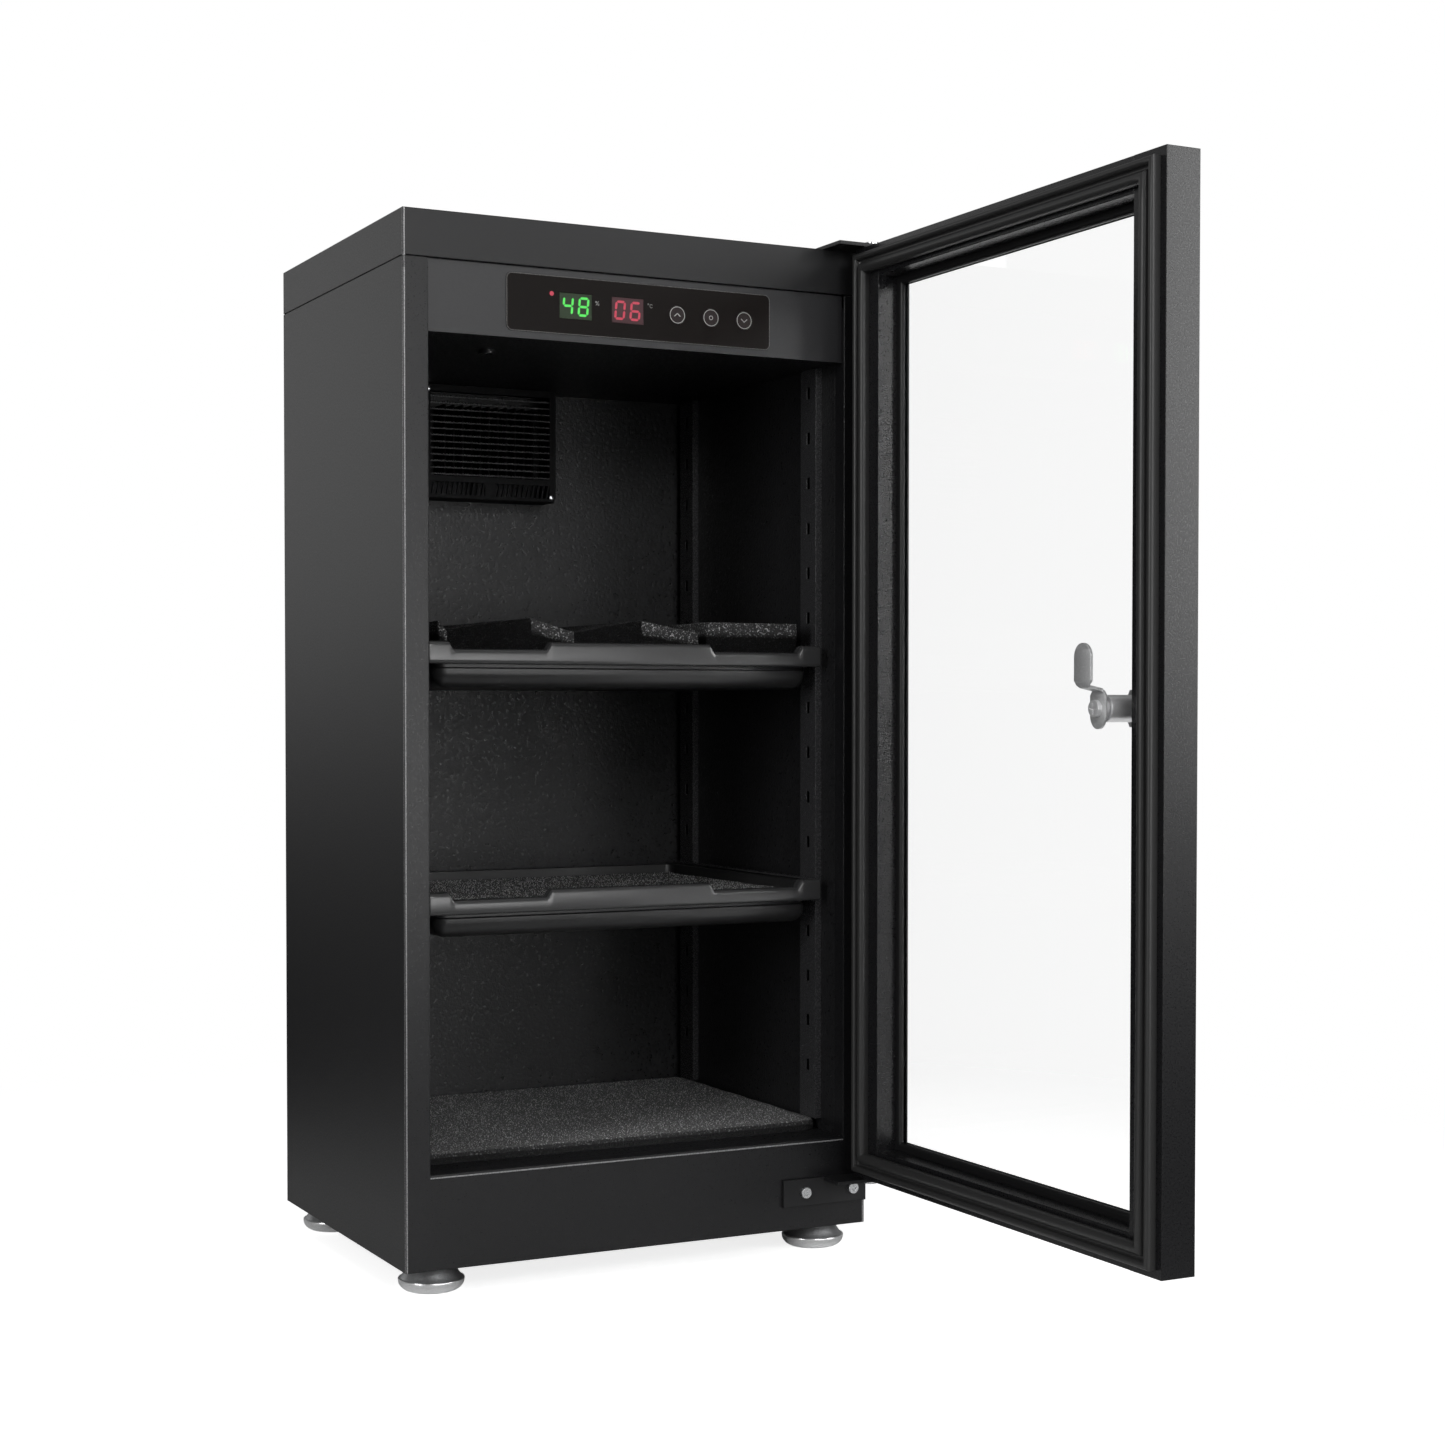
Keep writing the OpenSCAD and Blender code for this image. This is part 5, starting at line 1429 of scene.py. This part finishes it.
@dataclass
class Dryer:
    """The dryer on the back wall, its outside vent and the inlet.

    Attributes:
        frame: The loaded frame.
        rim: Width of the grille's rim.
        blades: Number of louvre blades.
        strip: Height of the strip of slanted fins.
        fins: Number of slanted fins in each of its two groups.
        corner: Radius of the rim's corners.
        sill: Height of the rim's foot.
        bar: Height of the bar over the strip.
        plain: Width of the plain middle of the strip.
    """

    frame: dict
    rim: float = 5.0 * MM
    blades: int = 13
    strip: float = 9.5 * MM
    fins: int = 11
    corner: float = 4.5 * MM
    sill: float = 2.6 * MM
    bar: float = 4.5 * MM
    plain: float = 9.0 * MM

    def grille(self) -> None:
        """Makes the grille: a round-cornered rim, sloping blades, a strip of slanted fins in two
        groups with a plain middle, and two fixing screws."""
        low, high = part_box("dryer_grille")
        y0, y1 = low.y, high.y
        rim, strip = self.rim, self.strip
        parts = []

        def box(x0: float, x1: float, z0: float, z1: float, front: float = y0) -> None:
            """Adds a plain bar of the grille."""
            loop = np.array([(x0, z0), (x1, z0), (x1, z1), (x0, z1)])
            parts.append(prism(loop, 1, front, y1))

        a = np.linspace(0, np.pi / 2, 7)
        radius = self.corner
        for sx in (-1, 1):
            edge = low.x if sx < 0 else high.x
            zs = [low.z + radius - radius * np.sin(a), high.z - radius + radius * np.sin(a[::-1])]
            out = [edge - sx * (radius - radius * np.cos(a)),
                   edge - sx * (radius - radius * np.cos(a[::-1]))]
            loop = np.concatenate([np.stack([out[0], zs[0]], -1)[::-1],
                                   np.stack([out[1], zs[1]], -1)[::-1]])
            loop = np.concatenate([loop, [(edge - sx * rim, high.z),
                                          (edge - sx * rim, low.z)]])
            parts.append(prism(loop, 1, y0, y1))
        left, right = low.x + rim, high.x - rim
        box(left, right, high.z - rim, high.z)
        sill = low.z + self.sill
        box(left, right, low.z, sill)
        foot = sill + strip
        bottom, top = foot + self.bar, high.z - rim
        box(left, right, foot, bottom)
        pitch = (top - bottom) / self.blades
        nose = 0.55 * MM
        b = np.linspace(np.pi * 0.6, np.pi * 1.7, 6)
        blade = np.concatenate([np.stack([y0 + nose * (1 + np.cos(b)), nose * (1 + np.sin(b))], -1),
                                [(y1 + 0.5 * MM, 0.9 * MM), (y1 + 0.2 * MM, 1.7 * MM)]])
        slats = [prism(blade + np.array([0, bottom + (k + 0.12) * pitch]), 0,
                            left - 0.2 * MM, right + 0.2 * MM) for k in range(self.blades)]
        middle, plain = (left + right) / 2, self.plain
        box(middle - plain / 2, middle + plain / 2, sill, foot, y0 + 0.3 * MM)
        step = ((right - left) - plain) / 2 / self.fins
        for start in (left, middle + plain / 2):
            for k in range(self.fins):
                x = start + (k + 0.15) * step
                lean = np.array([(x, sill - 0.2 * MM), (x + 0.42 * step, sill - 0.2 * MM),
                                 (x + 0.95 * step, foot + 0.2 * MM),
                                 (x + 0.53 * step, foot + 0.2 * MM)])
                parts.append(prism(lean, 1, y0 + 0.4 * MM, y1))
        # The blades get the lighter copy of the grille's plastic as a painted highlight.
        for name, group, finish in (("louvred_grille", parts, GRILLE_PLASTIC),
                                    ("louvre_blades", slats, BLADE_LIT_PLASTIC)):
            add_mesh(name, *joined(group), "cabinet", finish, Slot.PLASTIC, ("dryer_grille",),
                     angle=30, merge=FINE_MERGE)
        t = np.linspace(0, np.pi / 2, 6)
        dome = np.stack([2.1 * MM * np.cos(t), 0.8 * MM * np.sin(t)], -1)
        turn = np.linspace(0, 2 * np.pi, 25)[:-1]
        for name, x, z in (("grille_screw_high", low.x + 3.4 * MM, high.z - 3.4 * MM),
                           ("grille_screw_low", high.x - 3.4 * MM, low.z + 3.4 * MM)):
            r, h = dome[:, 0][:, None], dome[:, 1][:, None]
            v = np.stack([x + r * np.cos(turn), y0 + 0.1 * MM - h + 0 * turn,
                          z + r * np.sin(turn)], -1).reshape(-1, 3)
            f = [list(q) for q in grid_faces(len(t), len(turn), close_cols=True)]
            add_mesh(name, v, f + [list(range(len(turn)))], "cabinet", CHROME, Slot.BRIGHT)

    def build(self) -> None:
        """Dresses the dryer's pieces and makes the grille."""
        self.grille()
        keep(self.frame, "dryer_housing", GRILLE_PLASTIC)
        keep(self.frame, "rear_vent_cover", DRYER_PLASTIC)
        keep(self.frame, "cold_fins", FIN_BLACK)
        keep(self.frame, "heat_sink", SINK_METAL)
        keep(self.frame, "cooling_module", CERAMIC)
        keep(self.frame, "dc_inlet", DRYER_PLASTIC)


# Studio


@dataclass(frozen=True)
class Lamp:
    """A soft rectangular lamp.

    Attributes:
        name: Name of the lamp.
        place: Where it stands.
        target: What it points at.
        size: Width and height.
        power: Watts.
    """

    name: str
    place: Point
    target: Point
    size: tuple[float, float]
    power: float

    def build(self) -> None:
        """Makes the lamp."""
        data = bpy.data.lights.new(self.name, "AREA")
        data.shape = "RECTANGLE"
        data.size, data.size_y = self.size
        data.energy = self.power
        obj = bpy.data.objects.new(self.name, data)
        obj.location = self.place
        obj.rotation_euler = (Vector(self.target) - Vector(self.place)).to_track_quat(
            "-Z", "Y").to_euler()
        bpy.context.scene.collection.objects.link(obj)


@dataclass
class Studio:
    """Floor, world, lamps and camera.

    Attributes:
        camera_at: Place of the camera.
        turn: Angle of view to the right of straight ahead, in radians.
        dip: Angle of view below the horizon, in radians.
        lens: Focal length on a 36 mm sensor.
        shift: Sideways and upward shift of the camera.
        ambient: Strength of the world as light and in reflections.
        floor_lift: Light added to what the eye sees of the floor.
        floor_radius: Radius of the floor.
        fade: Distances from the middle between which the floor fades into the background.
        lamps: The soft lamps.
    """

    camera_at: Point = (-0.6834, -1.5511, 0.3795)
    turn: float = 0.4708
    dip: float = 0.0247
    lens: float = 58.55
    shift: tuple[float, float] = (0.0156, 0.0323)
    ambient: float = 0.20
    floor_lift: float = 0.80
    floor_radius: float = 6.0
    fade: Range = (0.3, 0.9)
    lamps: tuple = (
        Lamp("front_soft", (0.16, -2.6, 0.65), (0.0, 0.0, 0.4), (0.6, 2.0), 8.5),
        Lamp("front_left", (-0.55, -2.7, 0.7), (0.0, 0.0, 0.4), (0.6, 1.6), 2.5),
        Lamp("front_low", (0.48, -2.2, 0.22), (-0.10, 0.12, 0.30), (0.45, 0.3), 2.4),
        Lamp("inside", (0.62, -2.0, 0.5), (-0.10, 0.12, 0.40), (0.3, 0.5), 1.4),
        Lamp("left_back", (-1.25, 2.5, 1.05), (-0.17, 0.0, 0.45), (0.8, 1.3), 3.6),
        Lamp("left_side", (-2.0, -0.9, 0.9), (0.1, -0.3, 0.45), (0.4, 1.3), 15.0),
        Lamp("right_high", (2.4, -2.7, 1.2), (0.17, -0.48, 0.5), (0.7, 1.8), 36.0),
        Lamp("front_high", (-0.15, -2.1, 1.15), (0.0, 0.0, 0.1), (0.8, 0.5), 7.0),
        Lamp("overhead", (0.0, -0.2, 2.6), (0.0, 0.0, 0.5), (1.6, 1.6), 4.0),
    )

    def camera(self) -> None:
        """Makes the camera at the photograph's viewing angle."""
        data = bpy.data.cameras.new("camera")
        data.lens = self.lens
        data.sensor_width = 36.0
        data.shift_x, data.shift_y = self.shift
        obj = bpy.data.objects.new("camera", data)
        obj.location = self.camera_at
        obj.rotation_euler = Euler((math.pi / 2 - self.dip, 0, -self.turn))
        bpy.context.scene.collection.objects.link(obj)
        bpy.context.scene.camera = obj

    def world(self) -> None:
        """Makes a world that is white to the eye and through glass, and dim as light."""
        world = bpy.data.worlds.new("white_studio")
        bpy.context.scene.world = world
        world.use_nodes = True
        tree = world.node_tree
        back = tree.nodes["Background"]
        path = tree.nodes.new("ShaderNodeLightPath").outputs
        seen = maths(tree, "MAXIMUM", path["Is Camera Ray"], path["Is Transmission Ray"])
        bounced = maths(tree, "ADD", path["Diffuse Depth"], path["Glossy Depth"])
        straight = maths(tree, "SUBTRACT", seen, bounced, clamp=True)
        tree.links.new(ramp(tree, straight, end=(self.ambient, 1.0)), back.inputs["Strength"])
        back.inputs["Color"].default_value = (1, 1, 1, 1)

    def floor(self) -> None:
        """Makes a pale round floor that fades into the white background."""
        mesh = bpy.data.meshes.new("floor")
        a = np.linspace(0, 2 * np.pi, 96, endpoint=False)
        ring = np.stack([np.cos(a), np.sin(a), np.zeros_like(a)], -1) * self.floor_radius
        mesh.from_pydata(ring.tolist(), [], [list(range(len(a)))])
        obj = bpy.data.objects.new("floor", mesh)
        bpy.context.scene.collection.objects.link(obj)
        mat = bpy.data.materials.new("pale_floor")
        mat.use_nodes = True
        tree = mat.node_tree
        nodes, links = tree.nodes, tree.links
        shader = nodes["Principled BSDF"]
        shader.inputs["Base Color"].default_value = (0.85, 0.85, 0.85, 1)
        shader.inputs["Roughness"].default_value = 0.7
        shader.inputs["Specular IOR Level"].default_value = 0.1
        shader.inputs["Emission Color"].default_value = (1, 1, 1, 1)
        path = nodes.new("ShaderNodeLightPath").outputs
        seen = maths(tree, "MAXIMUM", path["Is Camera Ray"], path["Is Transmission Ray"])
        glow, mix = nodes.new("ShaderNodeEmission"), nodes.new("ShaderNodeMixShader")
        place = nodes.new("ShaderNodeTexCoord")
        reach = nodes.new("ShaderNodeVectorMath")
        reach.operation = "LENGTH"
        fade = nodes.new("ShaderNodeMapRange")
        fade.interpolation_type = "SMOOTHSTEP"
        fade.inputs["From Min"].default_value, fade.inputs["From Max"].default_value = self.fade
        links.new(maths(tree, "MULTIPLY", seen, self.floor_lift),
                  shader.inputs["Emission Strength"])
        links.new(seen, glow.inputs["Strength"])
        links.new(place.outputs["Object"], reach.inputs[0])
        links.new(reach.outputs["Value"], fade.inputs["Value"])
        links.new(fade.outputs["Result"], mix.inputs["Fac"])
        links.new(shader.outputs["BSDF"], mix.inputs[1])
        links.new(glow.outputs["Emission"], mix.inputs[2])
        links.new(mix.outputs["Shader"], nodes["Material Output"].inputs["Surface"])
        mesh.materials.append(mat)

    def build(self) -> None:
        """Makes the whole studio."""
        bpy.context.scene.view_settings.view_transform = "Standard"
        self.camera()
        self.world()
        self.floor()
        for lamp in self.lamps:
            lamp.build()


def main() -> None:
    """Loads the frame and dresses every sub-assembly."""
    logging.basicConfig(level=logging.INFO, format="%(message)s")
    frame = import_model()
    Studio().build()
    for assembly in (Body(frame), Door(frame), Trays(frame), ControlStrip(frame), Dryer(frame)):
        assembly.build()


if __name__ == "__main__":
    main()
